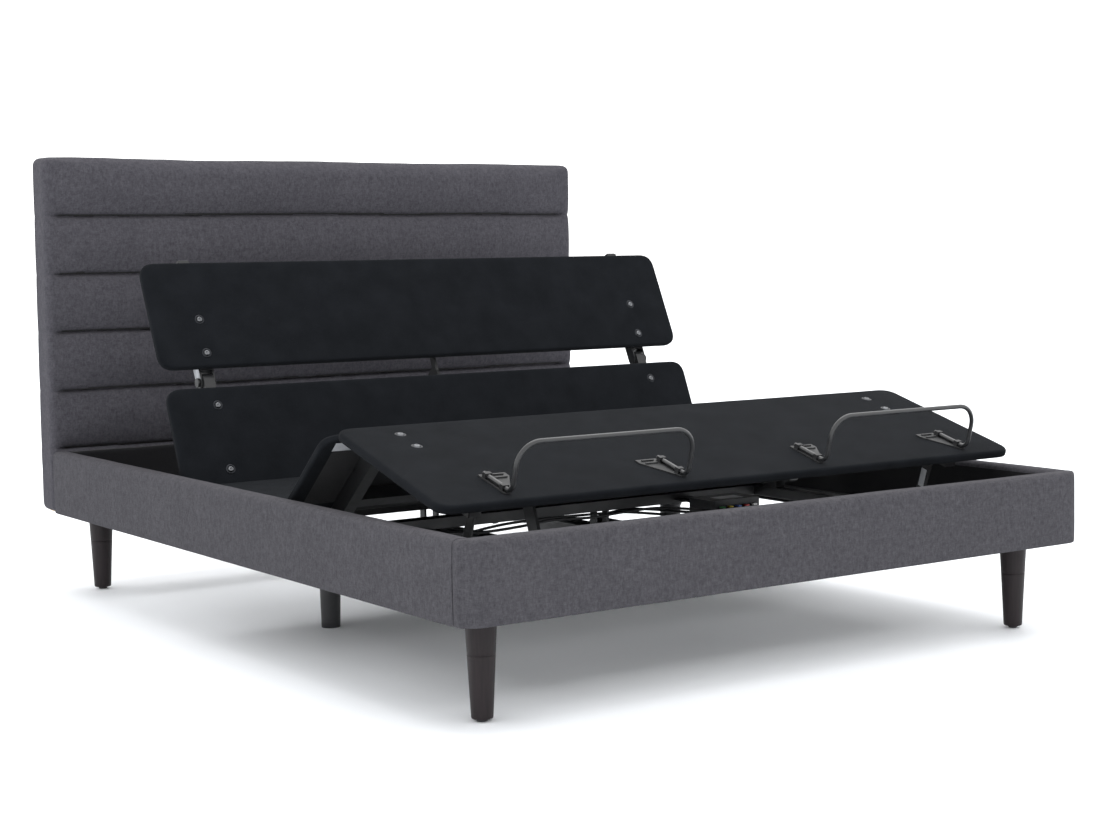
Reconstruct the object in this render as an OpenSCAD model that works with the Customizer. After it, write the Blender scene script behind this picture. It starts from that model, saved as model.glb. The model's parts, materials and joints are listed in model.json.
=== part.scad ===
// Adjustable bed: an upholstered platform surround on wooden legs, with a
// powered steel base inside it that lifts the back, pillow, thigh and calf
// panels. Millimetres, +Z up, +Y towards the headboard, +X to the right of
// someone who stands at the foot. The origin is on the floor, under the
// middle of the whole bed. All parts are drawn in the raised position.

/* [Surround] */
// Width over the side rails
bed_w = 1650; // [1400:10:2000]
// Length from the foot rail's face to the headboard's back
bed_l = 2166; // [2100:2:2300]
// Height of the top of the rails above the floor
rail_top = 366; // [350:1:400]
// Height of the rails' lower edge, which is also the length of the legs
rail_bottom = 203; // [190:1:206]
// Thickness of an upholstered side rail
side_rail_t = 42; // [38:1:50]
// Thickness of the upholstered foot rail
foot_rail_t = 45; // [40:1:55]
// Height of the headboard above the floor
headboard_top = 1137; // [900:1:1300]
// Thickness of the headboard
headboard_t = 91; // [80:1:120]
// Radius of the rails' upper edges
rail_r = 12; // [6:1:18]

/* [Deck] */
// Width of the deck panels
deck_w = 1548; // [1400:2:1556]
// Thickness of a deck panel with its fabric
panel_t = 20; // [15:1:22]
// Corner radius of the deck panels
panel_r = 34; // [20:1:60]
// Height of the hinge line of the back and the thigh above the floor
pivot_z = 300; // [300:1:310]
// Distance of the back's hinge line from the middle of the bed
back_y = 295; // [290:1:310]
// Distance of the thigh's hinge line from the middle of the bed
thigh_y = -252; // [-270:1:-250]
// Length from the back's hinge to the pillow's hinge
back_len = 293; // [285:1:300]
// Length of the pillow panel from its hinge
pillow_len = 306; // [290:1:310]
// Length from the thigh's hinge to the knee hinge
thigh_len = 291; // [285:1:292]
// Length of the calf panel from the knee hinge
calf_len = 448; // [420:1:470]

/* [Raised position] */
// Angle of the back above the horizontal
back_angle = 66.9; // [60:0.1:67]
// Angle at which the pillow panel lies back from the line of the back
pillow_lean = 2.5; // [0:0.1:3]
// Angle of the thigh above the horizontal
thigh_angle = 41; // [35:0.5:41]
// Angle at which the calf slopes down to the foot
calf_slope = 15.8; // [10:0.1:16]

/* [Hidden] */
$fn = 48;
eps = 0.01;
half_w = bed_w / 2;
half_l = bed_l / 2;
foot_in = -half_l + foot_rail_t;      // inner face of the foot rail
side_in = half_w - side_rail_t;       // inner face of a side rail
head_in = half_l - headboard_t;       // front face of the headboard
lining = 9;                           // padding and fabric around the boards
board_top = rail_top - lining - 3;    // top of the boards inside the rails

// Wooden legs
leg_x = 721;
leg_front_y = -965;
leg_rear_y = 940;
leg_r_top = 31.5;
leg_r_bottom = 21;
leg_block_h = 75;
glide_h = 5;
plate_t = 6;                          // leg plate of a corner bracket
plate_in_x = 640;                     // inner edge of a leg plate

// Steel base: stacked cleats, beams, side tubes and seat frame
cleat_t = 4;
cleat_w = 38;
cleat_z = rail_bottom + 2;
beam_w = 30;
beam_h = 27;
beam_z = cleat_z + cleat_t;
beam_ys = [-860, 66, 800];
tube_x = 650;                         // middle of every longitudinal tube
tube_w = 30;
tube_h = 40;
wall = 2;
base_tube_z = beam_z + beam_h;
base_tube_h = 26;
base_tube_ends = [-975, 840];
cross_tube_ys = [-960, -113, 205, 820];
cross_tube_w = 26;
seat_ends = [thigh_y + 27, back_y - 27];
seat_panel_ends = [-225, 252];
hinge_w = 28;                         // width of the tubes between hinge plates
boss_r = 20;
hinge_plate_t = 5;
hinge_plate_r = 15;
fish_t = 4;
pin_r = 7;
run_gap = 0.05;                       // radial clearance of a pin that turns
torque_r = 19;                        // round tube at the back's hinge
hollow_start = 27;                    // from a hinge to the hollow of its tube
cross_half = 14;                      // half the width of a section's cross tube
cross_n = [-18, 12];                  // lower and upper face of that cross tube
back_cross_s = [190];
thigh_cross_s = [88, 230];
end_tube_start = 24;                  // end sections: first part of their tubes
fish_len = 70;                        // reach of a hinge plate along such a tube
bolt_hole_n = [10, 30];               // depth of a bolt hole in a tube
bolt_head_r = 11;                     // head of a hinge bolt

// Panels
panel_start = 14;
panel_bottom = tube_h / 2;
panel_top = panel_bottom + panel_t;
back_panel_end = 268;
thigh_panel_end = thigh_len - 14;
pillow_panel_start = 25;
calf_panel_start = 6;
bolt_r = 4;
back_bolt_s = [57, 220];
pillow_bolt_s = [62, 151];
thigh_bolt_s = [70, 200];
calf_bolt_s = [65, 135];
pillow_tube_len = pillow_len + 12;    // the tubes stand out past the panel
pillow_cross_s = [88, 220];
calf_tube_len = calf_len - 68;        // the tubes end before the panel does
calf_cross_s = [110];
calf_bar_s = [calf_len - 96, calf_len - 72];
calf_bar_n = 10;                      // underside of the flat bar near the foot

// Actuators: the pin of each rod end runs in the slot of its lever
actuator_z = 178;
actuator_x = 150;
lever_d = pivot_z - actuator_z;
lever_t = 8;
back_mid = 33.45;                     // half of the back's travel
thigh_mid = 20.5;                     // half of the thigh's travel
pillow_mid = 19;                      // half of the pillow's travel
pillow_lever_d = 70;
main_pin_r = 6;
pillow_pin_r = 5;
back_slot_gap = 5.5;
thigh_slot_gap = 2;
pillow_slot_gap = 1.5;
head_pin_y = back_y + lever_d * tan(back_angle - back_mid);
head_pin_flat_y = back_y - lever_d * tan(back_mid);
foot_pin_y = thigh_y - lever_d * tan(thigh_angle - thigh_mid);
foot_pin_flat_y = thigh_y + lever_d * tan(thigh_mid);
pillow_pin_s = back_len - pillow_lever_d * tan(pillow_mid);
head_rear_y = -113;
foot_rear_y = 205;
housing_gap = 66;                     // from a retracted pin to the housing's nose
rod_r = 10;
pillow_rod_r = 8;
fork_reach = 50;
head_rod_len = 212;
foot_rod_len = 166;
pillow_rod_len = 90;

// Calf links: pivot on the base, length and angle when raised
link_y = -740;
link_z = 262;
link_len = 138;
link_angle = 68.6;
link_x = 625;
link_t = 6;
link_pin_r = 5;
link_eye_r = 10.6;                    // oversize eye: this is the open pivot
calf_pin_s = 330;
calf_pin_n = -8.7;

// Retainer bars on the calf panel
bar_xs = [-390, 420];
bar_half = 215;
bar_r = 5;
bar_h = 104;
bar_head_s = 325;
bar_foot_s = 432;
bar_bend = 18;
bar_corner = 50;
bracket_t = 3;

module box(x0, x1, y0, y1, z0, z1) {
    translate([x0, y0, z0]) cube([x1 - x0, y1 - y0, z1 - z0]);
}

module both_sides() {
    for (side = [-1, 1]) scale([side, 1, 1]) children();
}

module mirrored_x() {
    children();
    mirror([1, 0, 0]) children();
}

// Rectangle with four round corners, as exact arcs
module round_rect(x0, x1, y0, y1, r) {
    translate([x0 + r, y0]) square([x1 - x0 - 2 * r, y1 - y0]);
    translate([x0, y0 + r]) square([x1 - x0, y1 - y0 - 2 * r]);
    for (x = [x0 + r, x1 - r]) {
        for (y = [y0 + r, y1 - r]) translate([x, y]) circle(r);
    }
}

// Cylinder along X from x0 to x1
module rod_x(x0, x1, r) {
    translate([x0, 0, 0]) rotate([0, 90, 0]) cylinder(r = r, h = x1 - x0);
}

// Cylinder along Y from y0 to y1
module rod_y(y0, y1, r) {
    translate([0, y0, 0]) rotate([-90, 0, 0]) cylinder(r = r, h = y1 - y0);
}

// Frames that follow the hinges: local +Y runs along the back or the pillow,
// local -Y runs along the thigh or the calf, and local +Z is the panel's normal
module on_back() {
    translate([0, back_y, pivot_z]) rotate([back_angle, 0, 0]) children();
}

module on_pillow() {
    on_back() translate([0, back_len, 0]) rotate([-pillow_lean, 0, 0]) children();
}

module on_thigh() {
    translate([0, thigh_y, pivot_z]) rotate([-thigh_angle, 0, 0]) mirror([0, 1, 0]) children();
}

module on_calf() {
    translate([0, thigh_y, pivot_z]) rotate([-thigh_angle, 0, 0])
        translate([0, -thigh_len, 0]) rotate([thigh_angle + calf_slope, 0, 0])
            mirror([0, 1, 0]) children();
}

// ---------------------------------------------------------------- surround

// Section of a rail, seen along its length: rounded upper edges, flat bottom
module rail_section(t) {
    h = rail_top - rail_bottom;
    square([t, h - rail_r]);
    translate([rail_r, 0]) square([t - 2 * rail_r, h]);
    for (x = [rail_r, t - rail_r]) translate([x, h - rail_r]) circle(rail_r);
}

// Places of the bolts on the +X side: [y, z], pointing into the side rail
corner_bolt_ys = [foot_in + 55, foot_in + 115, head_in - 130, head_in - 70];
corner_bolt_z = 285;

module corner_bolt_shanks(r) {
    for (y = corner_bolt_ys) translate([0, y, corner_bolt_z]) rod_x(side_in - 4, side_in + 26, r);
}

module side_rail_board() {
    color("burlywood") difference() {
        box(side_in + lining, half_w - lining, foot_in, head_in, rail_bottom, board_top);
        corner_bolt_shanks(4);
    }
}

module side_rail_cover() {
    color([0.33, 0.33, 0.36]) difference() {
        translate([side_in, head_in, rail_bottom]) rotate([90, 0, 0])
            linear_extrude(head_in - foot_in) rail_section(side_rail_t);
        box(side_in + lining, half_w - lining, foot_in - 1, head_in + 1, rail_bottom - 1, board_top);
        corner_bolt_shanks(4);
    }
}

module side_rail_board_right() {
    side_rail_board();
}

module side_rail_board_left() {
    mirror([1, 0, 0]) side_rail_board();
}

module side_rail_cover_right() {
    side_rail_cover();
}

module side_rail_cover_left() {
    mirror([1, 0, 0]) side_rail_cover();
}

foot_end_r = 44;                      // vertical round ends of the foot rail

module foot_rail_board() {
    color("burlywood")
        box(-half_w + 30, half_w - 30, -half_l + lining, foot_in - lining, rail_bottom, board_top);
}

module foot_rail_cover() {
    color([0.33, 0.33, 0.36]) difference() {
        intersection() {
            translate([-half_w, -half_l, rail_bottom]) rotate([90, 0, 90])
                linear_extrude(bed_w) rail_section(foot_rail_t);
            translate([0, 0, rail_bottom]) linear_extrude(rail_top - rail_bottom)
                union() {
                    translate([-half_w + foot_end_r, -half_l])
                        square([bed_w - 2 * foot_end_r, foot_rail_t]);
                    translate([-half_w, -half_l + foot_end_r])
                        square([bed_w, foot_rail_t - foot_end_r]);
                    for (x = [-half_w + foot_end_r, half_w - foot_end_r])
                        translate([x, -half_l + foot_end_r]) circle(foot_end_r);
                }
        }
        box(-half_w + 30, half_w - 30, -half_l + lining, foot_in - lining, rail_bottom - 1, board_top);
    }
}

module head_rail() {
    color([0.08, 0.08, 0.09])
        box(-side_in, side_in, head_in - 24, head_in, rail_bottom, rail_top - 2);
}

headboard_core_front = 34;            // padding in front of the board
headboard_core_t = 40;

module headboard_core_box(extra) {
    box(-half_w + 14, half_w - 14,
        head_in + headboard_core_front, head_in + headboard_core_front + headboard_core_t,
        rail_bottom - extra, headboard_top - 16);
}

module headboard_board() {
    color("burlywood") headboard_core_box(0);
}

module headboard_cover() {
    color([0.36, 0.35, 0.38]) difference() {
        translate([0, half_l - 4, 0]) rotate([90, 0, 0]) linear_extrude(headboard_t - 4)
            round_rect(-half_w, half_w, rail_bottom, headboard_top, 22);
        headboard_core_box(1);
    }
}

module headboard_back_cloth() {
    color([0.1, 0.1, 0.1]) translate([0, half_l, 0]) rotate([90, 0, 0]) linear_extrude(4)
        round_rect(-half_w + 8, half_w - 8, rail_bottom + 4, headboard_top - 8, 18);
}

// ------------------------------------------------------- corners and legs

bracket_flange = 4;
bracket_h = 110;

// Bracket of the +X side: a leg plate with a flange on the side rail
module corner_bracket(y0, y1) {
    difference() {
        union() {
            box(plate_in_x, side_in, y0, y1, rail_bottom, rail_bottom + plate_t);
            box(side_in - bracket_flange, side_in, y0, y1,
                rail_bottom, rail_bottom + plate_t + bracket_h);
        }
        corner_bolt_shanks(4);
    }
}

module corner_brackets() {
    color([0.16, 0.16, 0.17]) mirrored_x() {
        difference() {
            union() {
                corner_bracket(foot_in, foot_in + 140);
                box(plate_in_x, side_in, foot_in, foot_in + bracket_flange,
                    rail_bottom, rail_bottom + plate_t + bracket_h);
            }
            translate([leg_x, leg_front_y, 0]) cylinder(r = 5, h = rail_top);
        }
        difference() {
            union() {
                corner_bracket(head_in - 164, head_in - 24);
                box(plate_in_x, side_in, head_in - 24 - bracket_flange, head_in - 24,
                    rail_bottom, rail_bottom + plate_t + bracket_h);
            }
            translate([leg_x, leg_rear_y, 0]) cylinder(r = 5, h = rail_top);
        }
    }
}

module corner_bolts() {
    color("silver") mirrored_x() {
        corner_bolt_shanks(4);
        for (y = corner_bolt_ys) {
            translate([0, y, corner_bolt_z]) rod_x(side_in - 10, side_in - 4, 8);
        }
    }
}

function leg_r(z) = leg_r_bottom + (leg_r_top - leg_r_bottom) * (z - glide_h) / (rail_bottom - glide_h);

module leg_blocks() {
    z0 = rail_bottom - leg_block_h;
    color([0.22, 0.19, 0.19]) mirrored_x() for (y = [leg_front_y, leg_rear_y]) {
        translate([leg_x, y, z0])
            cylinder(r1 = leg_r(z0), r2 = leg_r_top, h = leg_block_h);
        translate([leg_x, y, rail_bottom - eps]) cylinder(r = 5, h = plate_t + 16);
    }
}

module wood_leg(x, y) {
    h = rail_bottom - leg_block_h - glide_h;
    color([0.22, 0.19, 0.19]) translate([x, y, glide_h])
        cylinder(r1 = leg_r_bottom, r2 = leg_r(glide_h + h), h = h);
}

module leg_front_left() {
    wood_leg(-leg_x, leg_front_y);
}

module leg_front_right() {
    wood_leg(leg_x, leg_front_y);
}

module leg_rear_left() {
    wood_leg(-leg_x, leg_rear_y);
}

module leg_rear_right() {
    wood_leg(leg_x, leg_rear_y);
}

module leg_glides() {
    color([0.15, 0.15, 0.15]) mirrored_x() for (y = [leg_front_y, leg_rear_y])
        translate([leg_x, y, 0]) cylinder(r1 = 10, r2 = 12, h = glide_h);
}

// ------------------------------------------------------------- steel base

cleat_ys = [-880, 820];

module side_cleats() {
    color([0.14, 0.14, 0.15]) mirrored_x() {
        box(side_in - cleat_w, side_in, cleat_ys[0], cleat_ys[1], cleat_z, beam_z);
        box(side_in - cleat_t, side_in, cleat_ys[0], cleat_ys[1], cleat_z, cleat_z + 40);
    }
}

// Hollow rectangular tube along X
module tube_along_x(x0, x1, y, w, z0, h) {
    difference() {
        box(x0, x1, y - w / 2, y + w / 2, z0, z0 + h);
        box(x0 - 1, x1 + 1, y - w / 2 + wall, y + w / 2 - wall, z0 + wall, z0 + h - wall);
    }
}

// Hollow rectangular tube along Y
module tube_along_y(x, w, y0, y1, z0, h) {
    difference() {
        box(x - w / 2, x + w / 2, y0, y1, z0, z0 + h);
        box(x - w / 2 + wall, x + w / 2 - wall, y0 - 1, y1 + 1, z0 + wall, z0 + h - wall);
    }
}

module cross_beams() {
    beam_half = side_in - cleat_t - 1;
    color([0.1, 0.1, 0.11]) for (y = beam_ys)
        tube_along_x(-beam_half, beam_half, y, beam_w, beam_z, beam_h);
}

module base_side_tubes() {
    color([0.1, 0.1, 0.11]) mirrored_x()
        tube_along_y(tube_x, tube_w, base_tube_ends[0], base_tube_ends[1], base_tube_z, base_tube_h);
}

module base_cross_tubes() {
    half = tube_x - tube_w / 2;
    color([0.1, 0.1, 0.11]) for (y = cross_tube_ys)
        tube_along_x(-half, half, y, cross_tube_w, base_tube_z, base_tube_h);
}

riser_ys = [-190, 210];
riser_half = 25;                      // half the length of a riser block
seat_cross_ys = [20, 210];

module seat_frame() {
    z0 = pivot_z - tube_h / 2;
    half = tube_x - tube_w / 2;
    color([0.1, 0.1, 0.11]) {
        mirrored_x() {
            tube_along_y(tube_x, tube_w, seat_ends[0], seat_ends[1], z0, tube_h);
            for (y = riser_ys)
                box(half, tube_x + tube_w / 2, y - riser_half, y + riser_half,
                    base_tube_z + base_tube_h, z0);
        }
        for (y = seat_cross_ys) tube_along_x(-half, half, y, tube_w, z0, tube_h);
    }
}

// Plate on the outer face of the seat tube that carries both hinge bolts
module seat_hinge_plates() {
    x0 = tube_x + tube_w / 2;
    color([0.45, 0.46, 0.48]) mirrored_x() difference() {
        translate([x0, 0, pivot_z]) rotate([90, 0, 90]) linear_extrude(hinge_plate_t) {
            translate([thigh_y, -hinge_plate_r]) square([back_y - thigh_y, 2 * hinge_plate_r]);
            for (y = [thigh_y, back_y]) translate([y, 0]) circle(hinge_plate_r);
        }
        for (y = [thigh_y, back_y]) translate([0, y, pivot_z]) rod_x(x0 - 1, x0 + 10, pin_r);
    }
}

module hinge_bolts() {
    x0 = tube_x + tube_w / 2;
    color("silver") mirrored_x() for (y = [thigh_y, back_y]) translate([0, y, pivot_z]) {
        rod_x(tube_x - 10, x0 + hinge_plate_t, pin_r);
        rod_x(x0 + hinge_plate_t, x0 + hinge_plate_t + 7, bolt_head_r);
    }
}

module seat_panel() {
    color([0.07, 0.07, 0.08]) translate([0, 0, pivot_z + panel_bottom]) linear_extrude(panel_t)
        round_rect(-deck_w / 2, deck_w / 2, seat_panel_ends[0], seat_panel_ends[1], 20);
}

middle_leg_x = 504;

middle_flange_t = 6;

module middle_legs() {
    h = beam_z - middle_flange_t;
    color([0.12, 0.12, 0.13]) mirrored_x() translate([middle_leg_x, beam_ys[1], 0]) {
        cylinder(r1 = 22, r2 = 27.5, h = h);
        translate([0, 0, h]) cylinder(r = 30, h = middle_flange_t);
    }
}

// -------------------------------------------------- electrics and actuators

box_x = [330, 480];
box_y = [-340, -240];
box_z = [212, 266];

module control_box() {
    color([0.1, 0.1, 0.11]) {
        translate([0, 0, box_z[0]]) linear_extrude(box_z[1] - box_z[0])
            round_rect(box_x[0], box_x[1], box_y[0], box_y[1], 8);
        // Flat arm to the cross tube
        box(box_x[0] + 45, box_x[1] - 45, box_y[1] - eps, cross_tube_ys[1] - cross_tube_w / 2,
            base_tube_z + 8, base_tube_z + 12);
        // Row of sockets on the side towards the foot
        for (x = [box_x[0] + 25 : 25 : box_x[1] - 20])
            box(x - 8, x + 8, box_y[0] - 10, box_y[0] + eps, box_z[0] + 22, box_z[0] + 36);
    }
}

supply_x = [-480, -330];
supply_y = [-160, -92];
supply_h = 42;

module power_supply() {
    z1 = base_tube_z;
    color([0.09, 0.09, 0.1]) difference() {
        translate([0, 0, z1 - supply_h]) linear_extrude(supply_h)
            round_rect(supply_x[0], supply_x[1], supply_y[0], supply_y[1], 8);
        // Mains inlet
        box(supply_x[0] - 1, supply_x[0] + 12, -140, -112, z1 - 34, z1 - 14);
    }
}

// Housing from its rear bracket at y_rear to its nose; local +Y is the push
module actuator_body(length, r_rod, w, h, hang) {
    difference() {
        union() {
            translate([0, length, 0]) rotate([90, 0, 0]) linear_extrude(length + 14)
                round_rect(-w / 2, w / 2, -h / 2, h / 2, 8);
            box(-w / 2 - 12, w / 2 + 12, -14, 56, -h / 2 + 6, h / 2 - 6);
            // Ears up to the tube that carries the housing
            for (x = [-w / 2 + 2, w / 2 - 8]) box(x, x + 6, -11, 11, 0, hang);
        }
        rod_y(60, length + 1, r_rod + run_gap);
    }
}

module actuator_motor(length, r) {
    rod_y(0, length, r);
    rod_y(length - eps, length + 8, r - 6);
}

// Rod with a fork end whose pin is at the local origin; local +Y is the push
module actuator_rod(r_rod, length, r_pin, height) {
    rod_y(-fork_reach - length, -fork_reach, r_rod);
    box(-11.5, 11.5, -fork_reach - eps, -fork_reach + 10, -height / 2, height / 2);
    for (x = [-11.5, 5.5]) {
        box(x, x + 6, -fork_reach, 0, -height / 2, height / 2);
        rotate([0, 90, 0]) translate([0, 0, x]) cylinder(r = height / 2, h = 6);
    }
    rod_x(-14, 14, r_pin);
}

head_front = head_pin_flat_y - housing_gap;
head_body_len = head_front - head_rear_y;
foot_front = foot_pin_flat_y + housing_gap;
foot_body_len = foot_rear_y - foot_front;

module place_head_actuator() {
    translate([actuator_x, head_rear_y, actuator_z]) children();
}

module place_foot_actuator() {
    translate([-actuator_x, foot_rear_y, actuator_z]) rotate([0, 0, 180]) children();
}

module head_actuator_body() {
    color([0.13, 0.13, 0.14]) place_head_actuator()
        actuator_body(head_body_len, rod_r, 46, 46, base_tube_z - actuator_z);
}

module foot_actuator_body() {
    color([0.13, 0.13, 0.14]) place_foot_actuator()
        actuator_body(foot_body_len, rod_r, 46, 46, base_tube_z - actuator_z);
}

module head_actuator_motor() {
    color([0.2, 0.2, 0.22]) place_head_actuator() translate([63, -14, 0]) actuator_motor(120, 28);
}

module foot_actuator_motor() {
    color([0.2, 0.2, 0.22]) place_foot_actuator() translate([63, -14, 0]) actuator_motor(120, 28);
}

module head_actuator_rod() {
    color("silver") translate([actuator_x, head_pin_y, actuator_z])
        actuator_rod(rod_r, head_rod_len, main_pin_r, 26);
}

module foot_actuator_rod() {
    color("silver") translate([-actuator_x, foot_pin_y, actuator_z]) rotate([0, 0, 180])
        actuator_rod(rod_r, foot_rod_len, main_pin_r, 26);
}

// ------------------------------------------------------------------- leads

lead_r = 3.5;
lead_sides = 8;

function unit(v) = v / norm(v);

// Point at parameter t of a Catmull-Rom curve through the points p
function spline_at(p, i, t) =
    let (
        a = p[max(i - 1, 0)],
        b = p[i],
        c = p[i + 1],
        d = p[min(i + 2, len(p) - 1)]
    )
    0.5 * ((2 * b) + (c - a) * t + (2 * a - 5 * b + 4 * c - d) * t * t
        + (3 * b - a - 3 * c + d) * t * t * t);

function spline(p, steps) = concat(
    [for (i = [0 : len(p) - 2]) for (k = [0 : steps - 1]) spline_at(p, i, k / steps)],
    [p[len(p) - 1]]
);

// Ring of points around the route at point i
function ring(q, i, r, n) =
    let (
        d = unit(q[min(i + 1, len(q) - 1)] - q[max(i - 1, 0)]),
        side = unit(cross(d, abs(d[2]) > 0.9 ? [1, 0, 0] : [0, 0, 1])),
        up = cross(side, d)
    )
    [for (k = [0 : n - 1]) q[i] + r * (cos(360 * k / n) * side + sin(360 * k / n) * up)];

module lead_tube(route, steps) {
    q = spline(route, steps);
    n = lead_sides;
    rings = len(q);
    polyhedron(
        points = [for (i = [0 : rings - 1]) each ring(q, i, lead_r, n)],
        faces = concat(
            [[for (k = [0 : n - 1]) n - 1 - k]],
            [for (i = [0 : rings - 2]) for (k = [0 : n - 1])
                [i * n + k, i * n + (k + 1) % n, (i + 1) * n + (k + 1) % n, (i + 1) * n + k]],
            [[for (k = [0 : n - 1]) (rings - 1) * n + k]]
        )
    );
}

// Head actuator's motor to the control box
head_lead_route = [
    [213, 1, 178], [213, 7, 178], [213, 15, 178], [222, 29, 187], [240, 18, 200], [256, -20, 214],
    [270, -80, 226], [290, -150, 230], [308, -230, 232], [316, -310, 236], [322, -352, 240],
    [334, -374, 242], [350, -379, 242], [355, -370, 241], [355, -361, 241],
    [355, -350, 241]
];
// Foot actuator's motor to the control box, past the middle of the bed
foot_lead_route = [
    [-213, 91, 178], [-213, 85, 178], [-213, 77, 178], [-211, 45, 175], [-204, 6, 184],
    [-180, -38, 204], [-110, -78, 222],
    [0, -84, 226], [120, -86, 225], [225, -100, 224], [272, -180, 224], [292, -270, 226],
    [302, -344, 236], [316, -382, 241], [346, -397, 243], [372, -390, 242], [380, -370, 241],
    [380, -361, 241], [380, -350, 241]
];
// Power supply to the control box, draped in front of the cross tube
frame_lead_route = [
    [-330, -126, 224], [-322, -126, 224], [-312, -126, 224], [-270, -138, 223], [-200, -144, 220],
    [-100, -140, 223], [0, -138, 230], [100, -142, 226], [200, -150, 232], [262, -190, 240],
    [280, -270, 246], [286, -350, 250], [304, -398, 250], [350, -413, 248], [392, -405, 245],
    [405, -384, 241], [405, -370, 241],
    [405, -350, 241]
];

module head_lead() {
    color([0.05, 0.05, 0.05]) lead_tube(head_lead_route, 6);
}

module foot_lead() {
    color([0.05, 0.05, 0.05]) lead_tube(foot_lead_route, 4);
}

module frame_lead() {
    color([0.05, 0.05, 0.05]) lead_tube(frame_lead_route, 5);
}

// ---------------------------------------------------------- moving sections

// Lever with a slot for the rod end's pin; local -Z is its long axis
module slotted_lever(d, mid, r_pin, gap, w, x) {
    slot_end = d / cos(mid);
    translate([x - lever_t / 2, 0, 0]) difference() {
        union() {
            box(0, lever_t, -w / 2, w / 2, -slot_end - gap, 0);
            translate([0, 0, -slot_end - gap]) rod_x(0, lever_t, w / 2);
        }
        box(-1, lever_t + 1, -r_pin - gap, r_pin + gap, -slot_end - gap, -d + gap);
        for (z = [-slot_end - gap, -d + gap])
            translate([0, 0, z]) rod_x(-1, lever_t + 1, r_pin + gap);
    }
}

module bolt_holes(positions, r, z0, z1) {
    for (s = positions) for (x = [-tube_x, tube_x])
        translate([x, s, z0]) cylinder(r = r, h = z1 - z0);
}

// Frame between two hinges: outer shapes
module link_frame_outer(length, cross_s) {
    mirrored_x() {
        box(tube_x - hinge_w / 2, tube_x + hinge_w / 2, 0, length, -tube_h / 2, tube_h / 2);
        for (s = [0, length]) translate([0, s, 0])
            rod_x(tube_x - hinge_w / 2, tube_x + hinge_w / 2, boss_r);
    }
    inner = tube_x - hinge_w / 2;
    for (s = cross_s)
        box(-inner, inner, s - cross_half, s + cross_half, cross_n[0], cross_n[1]);
}

// Hollow insides, hinge bores and bolt holes of the frame between two hinges
module link_frame_inner(length, cross_s, bolts) {
    inner = tube_x - hinge_w / 2;
    bore_start = tube_x - 11;
    hollow_half = cross_half - wall;
    mirrored_x() {
        box(inner + wall, tube_x + hinge_w / 2 - wall, hollow_start, length - hollow_start,
            -tube_h / 2 + wall, tube_h / 2 - wall);
        rod_x(bore_start, tube_x + boss_r, pin_r + run_gap);
        translate([0, length, 0]) rod_x(tube_x - boss_r, tube_x + boss_r, pin_r + run_gap);
    }
    for (s = cross_s)
        box(-inner - 1, inner + 1, s - hollow_half, s + hollow_half,
            cross_n[0] + wall, cross_n[1] - wall);
    bolt_holes(bolts, bolt_r, bolt_hole_n[0], bolt_hole_n[1]);
}

module back_frame() {
    inner = tube_x - hinge_w / 2;
    torque_wall = 3;
    color([0.11, 0.11, 0.12]) on_back() {
        difference() {
            union() {
                link_frame_outer(back_len, back_cross_s);
                rod_x(-inner, inner, torque_r);
            }
            link_frame_inner(back_len, back_cross_s, back_bolt_s);
            rod_x(-inner + torque_wall, inner - torque_wall, torque_r - torque_wall);
        }
        difference() {
            rotate([-back_mid, 0, 0])
                slotted_lever(lever_d, back_mid, main_pin_r, back_slot_gap, 46, actuator_x);
            rod_x(-tube_x, tube_x, torque_r - 1);
        }
        // Strap that carries the rear end of the pillow actuator
        box(-23, 23, torque_r - 4, 66, -6, 6);
        for (x = [-23, 17]) box(x, x + 6, 54, 66, -pillow_lever_d, -6 + eps);
    }
}

module thigh_frame() {
    color([0.11, 0.11, 0.12]) on_thigh() {
        difference() {
            link_frame_outer(thigh_len, thigh_cross_s);
            link_frame_inner(thigh_len, thigh_cross_s, thigh_bolt_s);
        }
        rotate([-thigh_mid, 0, 0])
            slotted_lever(lever_d, thigh_mid, main_pin_r, thigh_slot_gap, 40, -actuator_x);
        // Strut from the lever to the first cross tube
        box(-actuator_x - lever_t / 2, -actuator_x + lever_t / 2,
            -12, thigh_cross_s[0] - cross_half + eps, cross_n[0] + wall, 0);
    }
}

// Frame that starts at a hinge with two plates on each tube
module end_frame(length, bolts, cross_s) {
    x0 = tube_x - tube_w / 2;
    x1 = tube_x + tube_w / 2;
    hollow_half = cross_half - wall;
    difference() {
        union() {
            mirrored_x() {
                box(x0, x1, end_tube_start, length, -tube_h / 2, tube_h / 2);
                for (x = [x0 - fish_t, x1]) {
                    box(x, x + fish_t, 0, fish_len, -hinge_plate_r, hinge_plate_r);
                    rod_x(x, x + fish_t, hinge_plate_r);
                }
            }
            for (s = cross_s)
                box(-x0, x0, s - cross_half, s + cross_half, cross_n[0], cross_n[1]);
        }
        mirrored_x() {
            box(x0 + wall, x1 - wall, end_tube_start + 2 * wall, length + 1,
                -tube_h / 2 + wall, tube_h / 2 - wall);
            rod_x(x0 - fish_t + 1, x1 + fish_t + 1, pin_r);
        }
        for (s = cross_s)
            box(-x0 - 1, x0 + 1, s - hollow_half, s + hollow_half,
                cross_n[0] + wall, cross_n[1] - wall);
        bolt_holes(bolts, bolt_r, bolt_hole_n[0], bolt_hole_n[1]);
    }
}

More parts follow.
